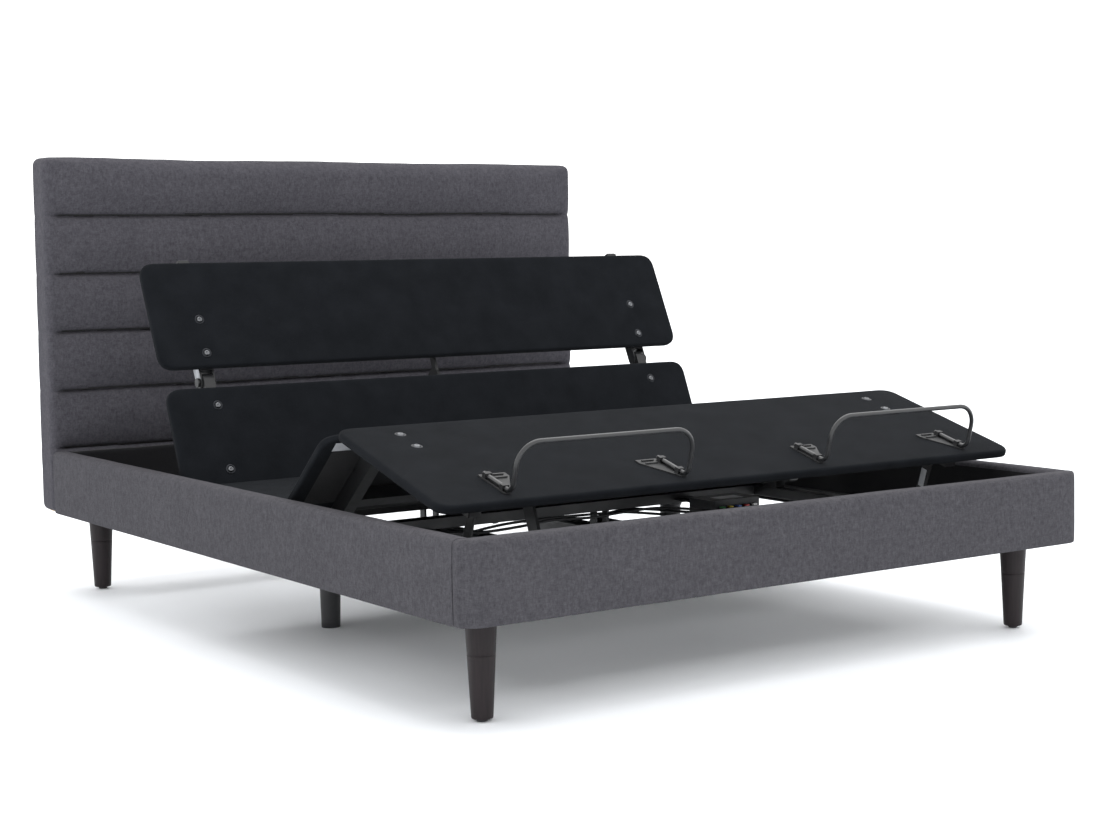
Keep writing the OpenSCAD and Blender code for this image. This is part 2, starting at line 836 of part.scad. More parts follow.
module pillow_frame() {
    color([0.11, 0.11, 0.12]) on_pillow() {
        end_frame(pillow_tube_len, pillow_bolt_s, pillow_cross_s);
        rotate([pillow_lean - pillow_mid, 0, 0])
            slotted_lever(pillow_lever_d, pillow_mid, pillow_pin_r, pillow_slot_gap, 34, 0);
        // Strut from the lever to the first cross tube
        box(-lever_t / 2, lever_t / 2, -12, pillow_cross_s[0] - cross_half + eps,
            cross_n[0] + wall, 0);
    }
}

module calf_frame() {
    inner = tube_x - tube_w / 2;
    color([0.11, 0.11, 0.12]) on_calf() {
        end_frame(calf_tube_len, calf_bolt_s, calf_cross_s);
        // Round tube at the knee
        rod_x(-inner + fish_t, inner - fish_t, hinge_plate_r);
        // Flat bar under the panel, near the foot
        box(-inner, inner, calf_bar_s[0], calf_bar_s[1], calf_bar_n, panel_bottom);
        // Pins that reach through the eyes of the links
        mirrored_x() translate([0, calf_pin_s, calf_pin_n])
            rod_x(link_x - link_t / 2 - 5, inner + eps, link_pin_r);
    }
}

module end_frame_bolts() {
    x0 = tube_x - tube_w / 2 - fish_t;
    x1 = tube_x + tube_w / 2 + fish_t;
    mirrored_x() {
        rod_x(x0 + 1, x1, pin_r);
        rod_x(x1, x1 + 6, bolt_head_r);
    }
}

module pillow_hinge_bolts() {
    color("silver") on_pillow() end_frame_bolts();
}

module knee_bolts() {
    color("silver") on_calf() end_frame_bolts();
}

module deck_panel(s0, s1, bolts) {
    difference() {
        translate([0, 0, panel_bottom]) linear_extrude(panel_t)
            round_rect(-deck_w / 2, deck_w / 2, s0, s1, panel_r);
        bolt_holes(bolts, bolt_r, 0, 60);
    }
}

module deck_bolts(positions) {
    for (s = positions) for (x = [-tube_x, tube_x]) translate([x, s, 0]) {
        translate([0, 0, panel_bottom - 8]) cylinder(r = bolt_r, h = panel_t + 8 + eps);
        translate([0, 0, panel_top]) cylinder(r = 12, h = 2);
        translate([0, 0, panel_top + 2]) cylinder(r1 = 11, r2 = 5, h = 4);
    }
}

module back_panel() {
    color([0.07, 0.07, 0.08]) on_back() deck_panel(panel_start, back_panel_end, back_bolt_s);
}

module pillow_panel() {
    color([0.07, 0.07, 0.08]) on_pillow() deck_panel(pillow_panel_start, pillow_len, pillow_bolt_s);
}

module thigh_panel() {
    color([0.07, 0.07, 0.08]) on_thigh() deck_panel(panel_start, thigh_panel_end, thigh_bolt_s);
}

module calf_panel() {
    color([0.07, 0.07, 0.08]) on_calf() deck_panel(calf_panel_start, calf_len, calf_bolt_s);
}

module back_panel_bolts() {
    color("silver") on_back() deck_bolts(back_bolt_s);
}

module pillow_panel_bolts() {
    color("silver") on_pillow() deck_bolts(pillow_bolt_s);
}

module thigh_panel_bolts() {
    color("silver") on_thigh() deck_bolts(thigh_bolt_s);
}

module calf_panel_bolts() {
    color("silver") on_calf() deck_bolts(calf_bolt_s);
}

pillow_rear_s = 50;
pillow_body_len = pillow_pin_s - 56 - pillow_rear_s;

module pillow_actuator_body() {
    color([0.13, 0.13, 0.14]) on_back() translate([0, pillow_rear_s + 10, -pillow_lever_d])
        difference() {
            union() {
                translate([0, pillow_body_len - 10, 0]) rotate([90, 0, 0])
                    linear_extrude(pillow_body_len) round_rect(-16, 16, -16, 16, 6);
                box(16 - eps, 34, 10, 50, -14, 14);
            }
            rod_y(45, pillow_body_len, pillow_rod_r + run_gap);
        }
}

module pillow_actuator_motor() {
    color([0.2, 0.2, 0.22]) on_back() translate([52, pillow_rear_s + 20, -pillow_lever_d])
        actuator_motor(90, 18);
}

// Lead from the pillow actuator's motor into the round tube at the hinge
pillow_lead_route = [
    [52, 70, -70], [52, 62, -70], [52, 54, -70], [52, 34, -64], [54, 14, -50], [56, 2, -38],
    [56, 0, -30], [56, 0, -24], [56, 0, -19]
];

module pillow_lead() {
    color([0.05, 0.05, 0.05]) on_back() lead_tube(pillow_lead_route, 5);
}

module pillow_actuator_rod() {
    color("silver") on_back() translate([0, pillow_pin_s, -pillow_lever_d])
        actuator_rod(pillow_rod_r, pillow_rod_len, pillow_pin_r, 22);
}

// ------------------------------------------------------- links and retainers

module calf_links() {
    color([0.13, 0.13, 0.14]) mirrored_x() translate([0, link_y, link_z])
        rotate([90 - link_angle, 0, 0]) difference() {
            union() {
                box(link_x - link_t / 2, link_x + link_t / 2, -13, 13, 0, link_len);
                for (z = [0, link_len]) translate([0, 0, z])
                    rod_x(link_x - link_t / 2, link_x + link_t / 2, z == 0 ? 13 : 17);
            }
            rod_x(link_x - 10, link_x + 10, link_pin_r + run_gap);
            translate([0, 0, link_len]) rod_x(link_x - 10, link_x + 10, link_eye_r);
        }
}

module link_brackets() {
    x1 = tube_x - tube_w / 2;
    plate = 4;
    color([0.14, 0.14, 0.15]) mirrored_x() {
        box(x1 - plate, x1, link_y - 20, link_y + 20, base_tube_z, link_z + 12);
        translate([0, link_y, link_z]) {
            rod_x(link_x - link_t / 2 - 2, x1 - plate + eps, link_pin_r);
            rod_x(link_x - link_t / 2 - 6, link_x - link_t / 2 - 1, 9);
        }
    }
}

// One half of a retainer bar, from its bracket to the middle of its top
module retainer_half() {
    n0 = panel_top + bracket_t + bar_r;
    top = n0 + bar_h;
    translate([bar_half, 0, n0]) rod_y(bar_head_s, bar_foot_s - bar_bend, bar_r);
    translate([bar_half, bar_foot_s - bar_bend, n0 + bar_bend]) rotate([90, 0, 90])
        rotate([0, 0, -90]) rotate_extrude(angle = 90) translate([bar_bend, 0]) circle(bar_r);
    translate([bar_half, bar_foot_s, n0 + bar_bend])
        cylinder(r = bar_r, h = bar_h - bar_bend - bar_corner);
    translate([bar_half - bar_corner, bar_foot_s, top - bar_corner]) rotate([90, 0, 0])
        rotate_extrude(angle = 90) translate([bar_corner, 0]) circle(bar_r);
    translate([0, bar_foot_s, top]) rod_x(-eps, bar_half - bar_corner, bar_r);
}

module retainer_bars() {
    color([0.25, 0.25, 0.27]) on_calf() for (x = bar_xs) translate([x, 0, 0]) {
        retainer_half();
        mirror([1, 0, 0]) retainer_half();
    }
}

// Triangular plate along the bar, with two low straps and two ribs
module retainer_bracket() {
    plate_top = panel_top + bracket_t;
    n0 = plate_top + bar_r;
    tip_s = bar_foot_s - 14;
    outer = bar_half + 9;
    inner = bar_half - 54;
    translate([0, 0, panel_top]) linear_extrude(bracket_t)
        polygon([
            [outer, bar_head_s - 8], [inner, bar_head_s - 8],
            [inner, bar_head_s + 10], [bar_half - 7, tip_s], [outer, tip_s]
        ]);
    strap_half = 8;
    strap_l = 12;
    strap_over = 1.5;                 // thickness of a strap over the bar
    seat_r = bar_r + 0.02;            // half-round seat of the bar in its strap
    difference() {
        for (s = [bar_head_s + 6, tip_s - 22])
            box(bar_half - strap_half, bar_half + strap_half, s, s + strap_l,
                plate_top - eps, n0 + bar_r + strap_over);
        translate([bar_half, 0, n0]) rod_y(0, calf_len, seat_r);
        box(bar_half - seat_r, bar_half + seat_r, 0, calf_len, 0, n0);
    }
    rib_w = 4;
    rib_h = 3;
    for (s = [bar_head_s, bar_head_s + 16])
        box(inner + 10, bar_half - 13, s, s + rib_w, plate_top - eps, plate_top + rib_h);
}

module retainer_brackets() {
    color([0.3, 0.3, 0.32]) on_calf() for (x = bar_xs) translate([x, 0, 0]) {
        retainer_bracket();
        mirror([1, 0, 0]) retainer_bracket();
    }
}

headboard_board();
headboard_cover();
headboard_back_cloth();
side_rail_board_left();
side_rail_board_right();
foot_rail_board();
head_rail();
side_rail_cover_left();
side_rail_cover_right();
foot_rail_cover();
corner_brackets();
corner_bolts();
leg_blocks();
leg_front_left();
leg_front_right();
leg_rear_left();
leg_rear_right();
leg_glides();
side_cleats();
cross_beams();
base_side_tubes();
base_cross_tubes();
seat_frame();
seat_hinge_plates();
seat_panel();
hinge_bolts();
middle_legs();
control_box();
power_supply();
head_actuator_body();
head_actuator_motor();
foot_actuator_body();
foot_actuator_motor();
head_lead();
foot_lead();
frame_lead();
link_brackets();
back_frame();
back_panel();
back_panel_bolts();
pillow_actuator_body();
pillow_actuator_motor();
pillow_lead();
pillow_hinge_bolts();
pillow_frame();
pillow_panel();
pillow_panel_bolts();
thigh_frame();
thigh_panel();
knee_bolts();
thigh_panel_bolts();
calf_frame();
calf_panel();
calf_panel_bolts();
retainer_bars();
retainer_brackets();
calf_links();
head_actuator_rod();
foot_actuator_rod();
pillow_actuator_rod();
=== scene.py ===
import json
import math

import bpy
import numpy as np
from mathutils import Matrix, Vector, noise


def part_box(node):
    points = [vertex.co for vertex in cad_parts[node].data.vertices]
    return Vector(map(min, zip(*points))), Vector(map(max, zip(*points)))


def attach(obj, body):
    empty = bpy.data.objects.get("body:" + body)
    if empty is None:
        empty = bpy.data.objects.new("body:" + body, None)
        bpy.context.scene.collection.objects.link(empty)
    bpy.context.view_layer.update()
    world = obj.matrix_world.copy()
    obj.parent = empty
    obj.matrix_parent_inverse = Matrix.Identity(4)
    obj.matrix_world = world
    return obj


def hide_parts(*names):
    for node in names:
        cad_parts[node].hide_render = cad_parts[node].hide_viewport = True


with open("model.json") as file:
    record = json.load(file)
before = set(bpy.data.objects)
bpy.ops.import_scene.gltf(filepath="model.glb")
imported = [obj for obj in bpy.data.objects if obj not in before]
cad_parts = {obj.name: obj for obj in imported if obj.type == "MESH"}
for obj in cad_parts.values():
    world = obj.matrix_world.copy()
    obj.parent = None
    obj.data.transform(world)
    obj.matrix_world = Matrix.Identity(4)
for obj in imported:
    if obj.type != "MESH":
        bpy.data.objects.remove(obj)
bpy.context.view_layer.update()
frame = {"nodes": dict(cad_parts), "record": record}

# An adjustable bed: upholstered surround, wooden legs and a powered steel base.
# Metres throughout. Places come from the CAD nodes; sizes of small details are
# named where they are used.

NODES = frame["nodes"]
RECORD = frame["record"]
MM = 0.001


# ------------------------------------------------------------------ camera

CAMERA_PLACE = (-2.7143, -4.2228, 0.9149)
CAMERA_YAW, CAMERA_PITCH, CAMERA_ROLL = (math.radians(a) for a in (36.755, 4.013, -0.606))
SENSOR_WIDTH, FOCAL_LENGTH = 36, 65.306       # millimetres
LENS_SHIFT = (-0.0932, -0.0373)


def make_camera():
    """Eye level at the foot, to the left, turned towards the headboard."""
    forward = Vector((
        math.sin(CAMERA_YAW) * math.cos(CAMERA_PITCH),
        math.cos(CAMERA_YAW) * math.cos(CAMERA_PITCH),
        -math.sin(CAMERA_PITCH),
    ))
    level = Vector((math.cos(CAMERA_YAW), -math.sin(CAMERA_YAW), 0))
    above = level.cross(forward)
    right = math.cos(CAMERA_ROLL) * level + math.sin(CAMERA_ROLL) * above
    up = math.cos(CAMERA_ROLL) * above - math.sin(CAMERA_ROLL) * level
    data = bpy.data.cameras.new("camera")
    data.sensor_width = SENSOR_WIDTH
    data.lens = FOCAL_LENGTH
    data.shift_x, data.shift_y = LENS_SHIFT
    camera = bpy.data.objects.new("camera", data)
    turn = Matrix((right, up, -forward)).transposed().to_4x4()
    camera.matrix_world = Matrix.Translation(CAMERA_PLACE) @ turn
    bpy.context.collection.objects.link(camera)
    bpy.context.scene.camera = camera


make_camera()


# --------------------------------------------------------------- materials


class Shader:
    """A Principled material and short calls for the nodes that feed it."""

    def __init__(self, name, **sockets):
        self.material = bpy.data.materials.new(name)
        self.material.use_nodes = True
        self.tree = self.material.node_tree
        self.bsdf = self.tree.nodes["Principled BSDF"]
        self.set(**sockets)
        self.coordinates = self.add("TexCoord").outputs["Object"]

    def set(self, **sockets):
        for name, value in sockets.items():
            socket = self.bsdf.inputs[name.replace("_", " ")]
            if isinstance(value, bpy.types.NodeSocket):
                self.tree.links.new(value, socket)
            else:
                socket.default_value = value

    def add(self, kind, inputs=None, **properties):
        node = self.tree.nodes.new("ShaderNode" + kind)
        for name, value in properties.items():
            setattr(node, name, value)
        for name, value in (inputs or {}).items():
            if isinstance(value, bpy.types.NodeSocket):
                self.tree.links.new(value, node.inputs[name])
            else:
                node.inputs[name].default_value = value
        return node

    def noise(self, scale, detail=2, roughness=0.5, seed=0):
        """Noise from 0 to 1; scale is how many features a metre holds along x, y and z."""
        mapping = self.add("Mapping", {"Vector": self.coordinates, "Scale": scale,
                                       "Location": (seed * 3.7, seed * 1.3, seed * 2.1)})
        node = self.add("TexNoise", {"Vector": mapping.outputs[0], "Scale": 1.0, "Detail": detail,
                                     "Roughness": roughness})
        return node.outputs["Fac"]

    def cells(self, scale, feature="F1"):
        mapping = self.add("Mapping", {"Vector": self.coordinates, "Scale": scale})
        node = self.add("TexVoronoi", {"Vector": mapping.outputs[0], "Scale": 1.0}, feature=feature)
        return node.outputs["Distance"]

    def math(self, operation, a, b):
        return self.add("Math", {0: a, 1: b}, operation=operation).outputs[0]

    def spread(self, value, low, high, to_low=0.0, to_high=1.0):
        node = self.add("MapRange", {"Value": value, "From Min": low, "From Max": high,
                                     "To Min": to_low, "To Max": to_high})
        return node.outputs["Result"]

    def blend(self, factor, a, b, mode="MIX"):
        node = self.add("Mix", {0: factor, 6: a, 7: b}, data_type="RGBA", blend_type=mode)
        return node.outputs[2]

    def bump(self, height, depth, strength=1.0):
        node = self.add("Bump", {"Height": height, "Distance": depth, "Strength": strength})
        return node.outputs["Normal"]


def colour(r, g, b):
    return (r, g, b, 1.0)


def upholstery(name, dark, light):
    """Heathered woven cloth: uneven upright and level threads, short slubs and mottling."""
    s = Shader(name, Roughness=0.95, Sheen_Weight=0.02, Sheen_Roughness=0.6,
               Specular_IOR_Level=0.06)
    upright = s.noise((620, 620, 150), 3, 0.6)
    level = s.noise((150, 150, 620), 3, 0.6, seed=1)
    fine = s.noise((1500, 1500, 1500), 1, 0.5, seed=2)
    slubs = s.noise((210, 210, 80), 3, 0.6, seed=3)
    cross_slubs = s.noise((70, 70, 230), 3, 0.6, seed=21)
    mottle = s.noise((85, 85, 70), 4, 0.65, seed=4)
    patches = s.noise((7, 7, 7), 2, 0.6, seed=22)
    threads = s.math("ADD", s.math("MULTIPLY", upright, 0.5), s.math("MULTIPLY", level, 0.5))
    tone = s.spread(threads, 0.36, 0.64, 0.0, 0.34)
    tone = s.math("ADD", tone, s.spread(slubs, 0.32, 0.68, 0.0, 0.26))
    tone = s.math("ADD", tone, s.spread(cross_slubs, 0.34, 0.68, 0.0, 0.16))
    tone = s.math("ADD", tone, s.spread(mottle, 0.34, 0.66, 0.0, 0.24))
    base = s.blend(tone, dark, light)
    base = s.blend(s.spread(patches, 0.35, 0.7, 0.0, 0.12), base, dark)
    s.set(Base_Color=base)
    height = s.math("ADD", threads, s.math("MULTIPLY", fine, 0.35))
    height = s.math("ADD", height, s.math("MULTIPLY", slubs, 0.8))
    s.set(Normal=s.bump(height, 0.0012, 0.8))
    return s.material


def deck_cloth(name):
    """Black knit stretched over board: even, fine, with a little sheen and lint."""
    s = Shader(name, Roughness=0.95, Sheen_Weight=0.01, Sheen_Roughness=0.5,
               Specular_IOR_Level=0.05)
    knit = s.cells((900, 900, 900))
    patches = s.noise((14, 14, 14), 3, 0.6)
    lint = s.noise((320, 320, 320), 2, 0.5, seed=5)
    base = s.blend(s.spread(patches, 0.3, 0.7), colour(0.0062, 0.0072, 0.0088),
                   colour(0.0090, 0.0102, 0.0124))
    base = s.blend(s.spread(lint, 0.62, 0.8, 0.0, 0.3), base, colour(0.020, 0.0215, 0.025))
    s.set(Base_Color=base)
    s.set(Normal=s.bump(s.math("ADD", knit, s.math("MULTIPLY", lint, 0.6)), 0.0005, 0.6))
    return s.material


def lining(name):
    """Thin black non-woven cloth: pressed dimples and fibres."""
    s = Shader(name, Roughness=0.95, Sheen_Weight=0.1, Specular_IOR_Level=0.15)
    dimples = s.cells((420, 420, 420), "SMOOTH_F1")
    fibres = s.noise((240, 240, 240), 4, 0.7, seed=6)
    s.set(Base_Color=s.blend(fibres, colour(0.004, 0.004, 0.005), colour(0.011, 0.011, 0.0125)))
    s.set(Normal=s.bump(s.math("ADD", dimples, fibres), 0.0006, 0.7))
    return s.material


def powder_coat(name, base, rough=0.42, gloss=0.0):
    """Satin powder coat: orange peel, slightly uneven gloss and rubbed spots."""
    s = Shader(name, Coat_Weight=gloss, Coat_Roughness=0.2)
    peel = s.noise((620, 620, 620), 2, 0.5, seed=7)
    haze = s.noise((24, 24, 24), 4, 0.65, seed=8)
    lighter = tuple(min(1.0, c * 2.2 + 0.004) for c in base[:3]) + (1.0,)
    s.set(Base_Color=s.blend(s.spread(haze, 0.45, 0.8, 0.0, 0.5), base, lighter))
    s.set(Roughness=s.spread(haze, 0.3, 0.7, rough - 0.06, rough + 0.12))
    s.set(Normal=s.bump(peel, 0.0003, 0.35))
    return s.material


def plated(name, base, rough=0.3, streak=(60, 900, 900)):
    """Plated or drawn steel: bright, with fine drawing lines and dull patches."""
    s = Shader(name, Metallic=1.0)
    lines = s.noise(streak, 3, 0.6, seed=9)
    dull = s.noise((40, 40, 40), 3, 0.6, seed=10)
    darker = tuple(c * 0.62 for c in base[:3]) + (1.0,)
    s.set(Base_Color=s.blend(s.spread(dull, 0.4, 0.75), base, darker))
    s.set(Roughness=s.math("ADD", s.spread(lines, 0.3, 0.7, rough - 0.07, rough + 0.07),
                           s.spread(dull, 0.4, 0.8, 0.0, 0.12)))
    s.set(Normal=s.bump(lines, 0.0001, 0.25))
    return s.material


def moulded(name, base, rough=0.5):
    """Moulded plastic: fine spark texture and handling marks."""
    s = Shader(name, Specular_IOR_Level=0.45)
    grain = s.noise((1100, 1100, 1100), 2, 0.5, seed=11)
    marks = s.noise((30, 30, 30), 4, 0.7, seed=12)
    lighter = tuple(min(1.0, c * 1.5 + 0.003) for c in base[:3]) + (1.0,)
    s.set(Base_Color=s.blend(s.spread(marks, 0.4, 0.75, 0.0, 0.6), base, lighter))
    s.set(Roughness=s.spread(marks, 0.3, 0.7, rough - 0.07, rough + 0.1))
    s.set(Normal=s.bump(grain, 0.0002, 0.4))
    return s.material


def stained_wood(name):
    """Dark stained beech with upright grain under satin lacquer."""
    s = Shader(name, Coat_Weight=0.06, Coat_Roughness=0.35, Specular_IOR_Level=0.22)
    grain = s.noise((260, 260, 9), 5, 0.65, seed=13)
    pores = s.noise((900, 900, 60), 3, 0.6, seed=14)
    broad = s.noise((34, 34, 3), 2, 0.5, seed=15)
    base = s.blend(s.spread(grain, 0.35, 0.68), colour(0.0085, 0.0058, 0.0066),
                   colour(0.020, 0.0138, 0.0155))
    base = s.blend(s.spread(broad, 0.35, 0.7, 0.0, 0.45), base, colour(0.0125, 0.0095, 0.0102))
    s.set(Base_Color=base)
    s.set(Roughness=s.spread(grain, 0.3, 0.7, 0.46, 0.6))
    s.set(Normal=s.bump(s.math("ADD", grain, pores), 0.0003, 0.3))
    return s.material


def plain_board(name):
    """Unfinished plywood: pale flowing grain."""
    s = Shader(name, Roughness=0.75, Specular_IOR_Level=0.3)
    grain = s.noise((14, 5, 120), 5, 0.6, seed=16)
    fibres = s.noise((160, 30, 900), 3, 0.6, seed=17)
    base = s.blend(s.spread(grain, 0.35, 0.68), colour(0.42, 0.29, 0.17), colour(0.62, 0.47, 0.30))
    s.set(Base_Color=base, Normal=s.bump(fibres, 0.0004, 0.5))
    return s.material


def lead_jacket(name):
    s = Shader(name, Roughness=0.5, Specular_IOR_Level=0.45)
    dust = s.noise((120, 120, 120), 3, 0.6, seed=18)
    s.set(Base_Color=s.blend(s.spread(dust, 0.45, 0.8), colour(0.006, 0.006, 0.007),
                             colour(0.02, 0.02, 0.022)))
    s.set(Normal=s.bump(dust, 0.0002, 0.3))
    return s.material


def paper(name, base):
    """Blank sticker paper, lightly soiled."""
    s = Shader(name, Roughness=0.55)
    soil = s.noise((90, 90, 90), 4, 0.6, seed=19)
    darker = tuple(c * 0.72 for c in base[:3]) + (1.0,)
    s.set(Base_Color=s.blend(s.spread(soil, 0.4, 0.75, 0.0, 0.7), base, darker))
    s.set(Normal=s.bump(soil, 0.0002, 0.2))
    return s.material


PAPER = paper("label_paper", colour(0.42, 0.43, 0.45))
# The bolt heads' brighter plating is a painted highlight: several times lighter than the washers' plating
# of the same steel.
BOLT_HEAD_HIGHLIGHT = plated("bolt_centre_painted_highlight", colour(0.17, 0.175, 0.185), 0.3, (500, 500, 500))
BLACKENED = powder_coat("blackened_plate", colour(0.006, 0.0065, 0.0075), 0.55)

MATERIALS = {
    "rail_board": plain_board("rail_board"),
    "headboard_fabric": upholstery("headboard_fabric", colour(0.030, 0.0292, 0.0355),
                                   colour(0.096, 0.093, 0.106)),
    "rail_fabric": upholstery("rail_fabric", colour(0.028, 0.0275, 0.0322),
                              colour(0.087, 0.0845, 0.094)),
    "black_cloth": lining("black_cloth"),
    "espresso_wood": stained_wood("espresso_wood"),
    "glide_plastic": moulded("glide_plastic", colour(0.025, 0.025, 0.026), 0.55),
    "black_plastic": moulded("black_plastic", colour(0.014, 0.014, 0.016), 0.48),
    "black_steel": powder_coat("black_steel", colour(0.007, 0.0075, 0.0085), 0.45),
    "zinc_steel": plated("zinc_steel", colour(0.30, 0.31, 0.33), 0.38),
    "deck_fabric": deck_cloth("deck_fabric"),
    # Bolt plating kept near black: painted shade, standing in for the dark ring round each bolt head.
    "bolt_chrome": plated("bolt_chrome", colour(0.032, 0.034, 0.038), 0.34, (500, 500, 500)),
    "housing_plastic": moulded("housing_plastic", colour(0.012, 0.013, 0.015), 0.45),
    "motor_can": powder_coat("motor_can", colour(0.02, 0.02, 0.022), 0.36, 0.2),
    "lead_rubber": lead_jacket("lead_rubber"),
    "rod_chrome": plated("rod_chrome", colour(0.6, 0.61, 0.62), 0.2, (900, 60, 60)),
    "retainer_steel": powder_coat("retainer_steel", colour(0.013, 0.0137, 0.015), 0.34, 0.2),
}


def dress_cad_nodes():
    """Gives every CAD node its slot's material, and the boxy steel ones soft edges."""
    bevels = {"black_steel": 1.6 * MM, "zinc_steel": 0.6 * MM, "housing_plastic": 1.5 * MM,
              "motor_can": 1.2 * MM, "black_plastic": 1.5 * MM, "retainer_steel": 0.5 * MM}
    for part in RECORD["subparts"]:
        node = NODES[part["node"]]
        node.data.materials.clear()
        node.data.materials.append(MATERIALS[part["material_slot"]])
        width = bevels.get(part["material_slot"])
        if width and part["node"] != "retainer_bars":
            weld = node.modifiers.new("weld", "WELD")
            weld.merge_threshold = 0.02 * MM
            bevel = node.modifiers.new("bevel", "BEVEL")
            bevel.width = width
            bevel.segments = 2
            bevel.limit_method = "ANGLE"
            bevel.angle_limit = math.radians(35)
            bevel.harden_normals = True
    NODES["retainer_brackets"].data.materials[0] = BLACKENED


dress_cad_nodes()


# ------------------------------------------------------------- mesh helpers


def new_piece(name, points, faces, materials, body, slot, replaces=(), material_of=None):
    """A smooth mesh that rides on a body; material_of(centre, normal) picks a material's index."""
    mesh = bpy.data.meshes.new(name)
    mesh.from_pydata([tuple(p) for p in points], [], faces)
    mesh.update()
    for material in materials:
        mesh.materials.append(material)
    if material_of:
        for face in mesh.polygons:
            face.material_index = material_of(face.center, face.normal)
    mesh.polygons.foreach_set("use_smooth", [True] * len(mesh.polygons))
    piece = bpy.data.objects.new(name, mesh)
    bpy.context.collection.objects.link(piece)
    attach(piece, body)
    if replaces:
        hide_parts(*replaces)
    return piece


def subdivide(piece, levels=1):
    modifier = piece.modifiers.new("subdivision", "SUBSURF")
    modifier.levels = modifier.render_levels = levels


def crisp(piece, angle=40):
    """Keeps the edges of a hard piece sharp where its faces turn by more than angle."""
    mesh = piece.data
    normals = [f.normal.copy() for f in mesh.polygons]
    faces_of = {}
    for face in mesh.polygons:
        for key in face.edge_keys:
            faces_of.setdefault(key, []).append(face.index)
    limit = math.cos(math.radians(angle))
    sharp = []
    for edge in mesh.edges:
        pair = faces_of.get(edge.key, [])
        sharp.append(len(pair) == 2 and normals[pair[0]].dot(normals[pair[1]]) < limit)
    attribute = mesh.attributes.new("sharp_edge", "BOOLEAN", "EDGE")
    attribute.data.foreach_set("value", sharp)


def smoothstep(value, low, high):
    t = np.clip((np.asarray(value, float) - low) / (high - low), 0, 1)
    return t * t * (3 - 2 * t)


def ripple(points, scale, seed=0.0):
    """Smooth noise from about -1 to 1 at each point; scale is features a metre."""
    shift = Vector((seed * 7.1, seed * 3.3, seed * 5.9))
    stretch = Vector(scale)
    return np.array([noise.noise(Vector(p) * stretch + shift) for p in points])


def grid_lines(length, low_edge, high_edge, step, rounds=4):
    """Distances across a slab: close together over its rounded edges, step apart between."""
    turns = [1 - math.cos(math.pi / 2 * k / rounds) for k in range(rounds)]
    count = max(1, round((length - low_edge - high_edge) / step))
    inner = np.linspace(low_edge, length - high_edge, count + 1)
    return np.concatenate([[low_edge * t for t in turns], inner,
                           [length - high_edge * t for t in reversed(turns)]])


def edge_drop(distance, radius):
    """How far a round edge of that radius lies below the face, at a distance from the side."""
    if radius <= 0:
        return np.zeros_like(distance)
    inside = radius - np.minimum(distance, radius)
    return radius - np.sqrt(np.maximum(radius * radius - inside * inside, 0))


class Slab:
    """A closed slab on a fine grid, with round edges and round corners in plan.

    axes has the plan's two directions and the top's normal as its columns. low and
    high are the slab's corners along them. edges are the radii of the top's edges at
    low u, high u, low v and high v; corners are the plan's radii, anticlockwise from
    low u and low v."""

    def __init__(self, axes, low, high, edges, back_edge=2 * MM, corners=(0, 0, 0, 0),
                 step=(12 * MM, 12 * MM), wall=12 * MM, u_lines=None, v_lines=None):
        self.axes, self.low = np.array(axes, float), np.array(low, float)
        width, length, depth = np.array(high, float) - self.low
        us = grid_lines(width, edges[0], edges[1], step[0]) if u_lines is None else u_lines
        vs = grid_lines(length, edges[2], edges[3], step[1]) if v_lines is None else v_lines
        u, v = np.meshgrid(us, vs, indexing="ij")
        left, near = u < width / 2, v < length / 2
        radius = np.where(near, np.where(left, corners[0], corners[1]),
                          np.where(left, corners[3], corners[2]))
        from_u, from_v = np.minimum(u, width - u), np.minimum(v, length - v)
        drop = np.maximum(
            np.maximum(edge_drop(u, edges[0]), edge_drop(width - u, edges[1])),
            np.maximum(edge_drop(v, edges[2]), edge_drop(length - v, edges[3])))
        back = edge_drop(np.minimum(from_u, from_v), back_edge)
        a, b = np.maximum(radius - from_u, 0), np.maximum(radius - from_v, 0)
        shrink = np.maximum(a, b) / np.maximum(np.hypot(a, b), 1e-9)
        both = (a > 0) & (b > 0)
        plan_u = np.where(both, radius - a * shrink, from_u)
        plan_v = np.where(both, radius - b * shrink, from_v)
        u = np.where(left, plan_u, width - plan_u)
        v = np.where(near, plan_v, length - plan_v)
        nu, nv = u.shape
        index = np.arange(nu * nv).reshape(nu, nv)
        loop = np.concatenate([index[:, 0], index[-1, 1:], index[-2::-1, -1], index[0, -2:0:-1]])
        top = np.stack([u, v, depth - drop], -1).reshape(-1, 3)
        bottom = np.stack([u, v, back], -1).reshape(-1, 3)
        rings = max(1, round(depth / wall))
        levels = np.arange(1, rings) / rings
        middle = [bottom[loop] + (top[loop] - bottom[loop]) * t for t in levels]
        self.local = np.concatenate([top, bottom] + middle)
        self.kind = np.concatenate([np.zeros(nu * nv), np.ones(nu * nv),
                                    np.full(len(loop) * (rings - 1), 2)])
        inset = np.minimum(from_u, from_v).reshape(-1)
        self.inset = np.concatenate([inset, inset, np.zeros(len(loop) * (rings - 1))])
        self.size = np.array([width, length, depth])
        self.faces = []
        for i in range(nu - 1):
            for j in range(nv - 1):
                quad = [index[i, j], index[i + 1, j], index[i + 1, j + 1], index[i, j + 1]]
                self.faces.append([int(q) for q in quad])
                self.faces.append([int(q) + nu * nv for q in reversed(quad)])
        start, count = 2 * nu * nv, len(loop)
        between = [start + k * count + np.arange(count) for k in range(rings - 1)]
        ladder = [loop + nu * nv] + between + [loop]
        for lower, upper in zip(ladder[:-1], ladder[1:]):
            for p in range(count):
                q = (p + 1) % count
                self.faces.append([int(lower[p]), int(lower[q]), int(upper[q]), int(upper[p])])

    def world(self):
        return (self.local + self.low) @ self.axes.T


WORLD_AXES = np.eye(3)
HEADBOARD_AXES = np.array([[1, 0, 0], [0, 0, -1], [0, 1, 0]])   # plan x and z, top towards the foot
BACK_AXES = np.array([[-1, 0, 0], [0, 0, 1], [0, 1, 0]])        # the same, seen from behind


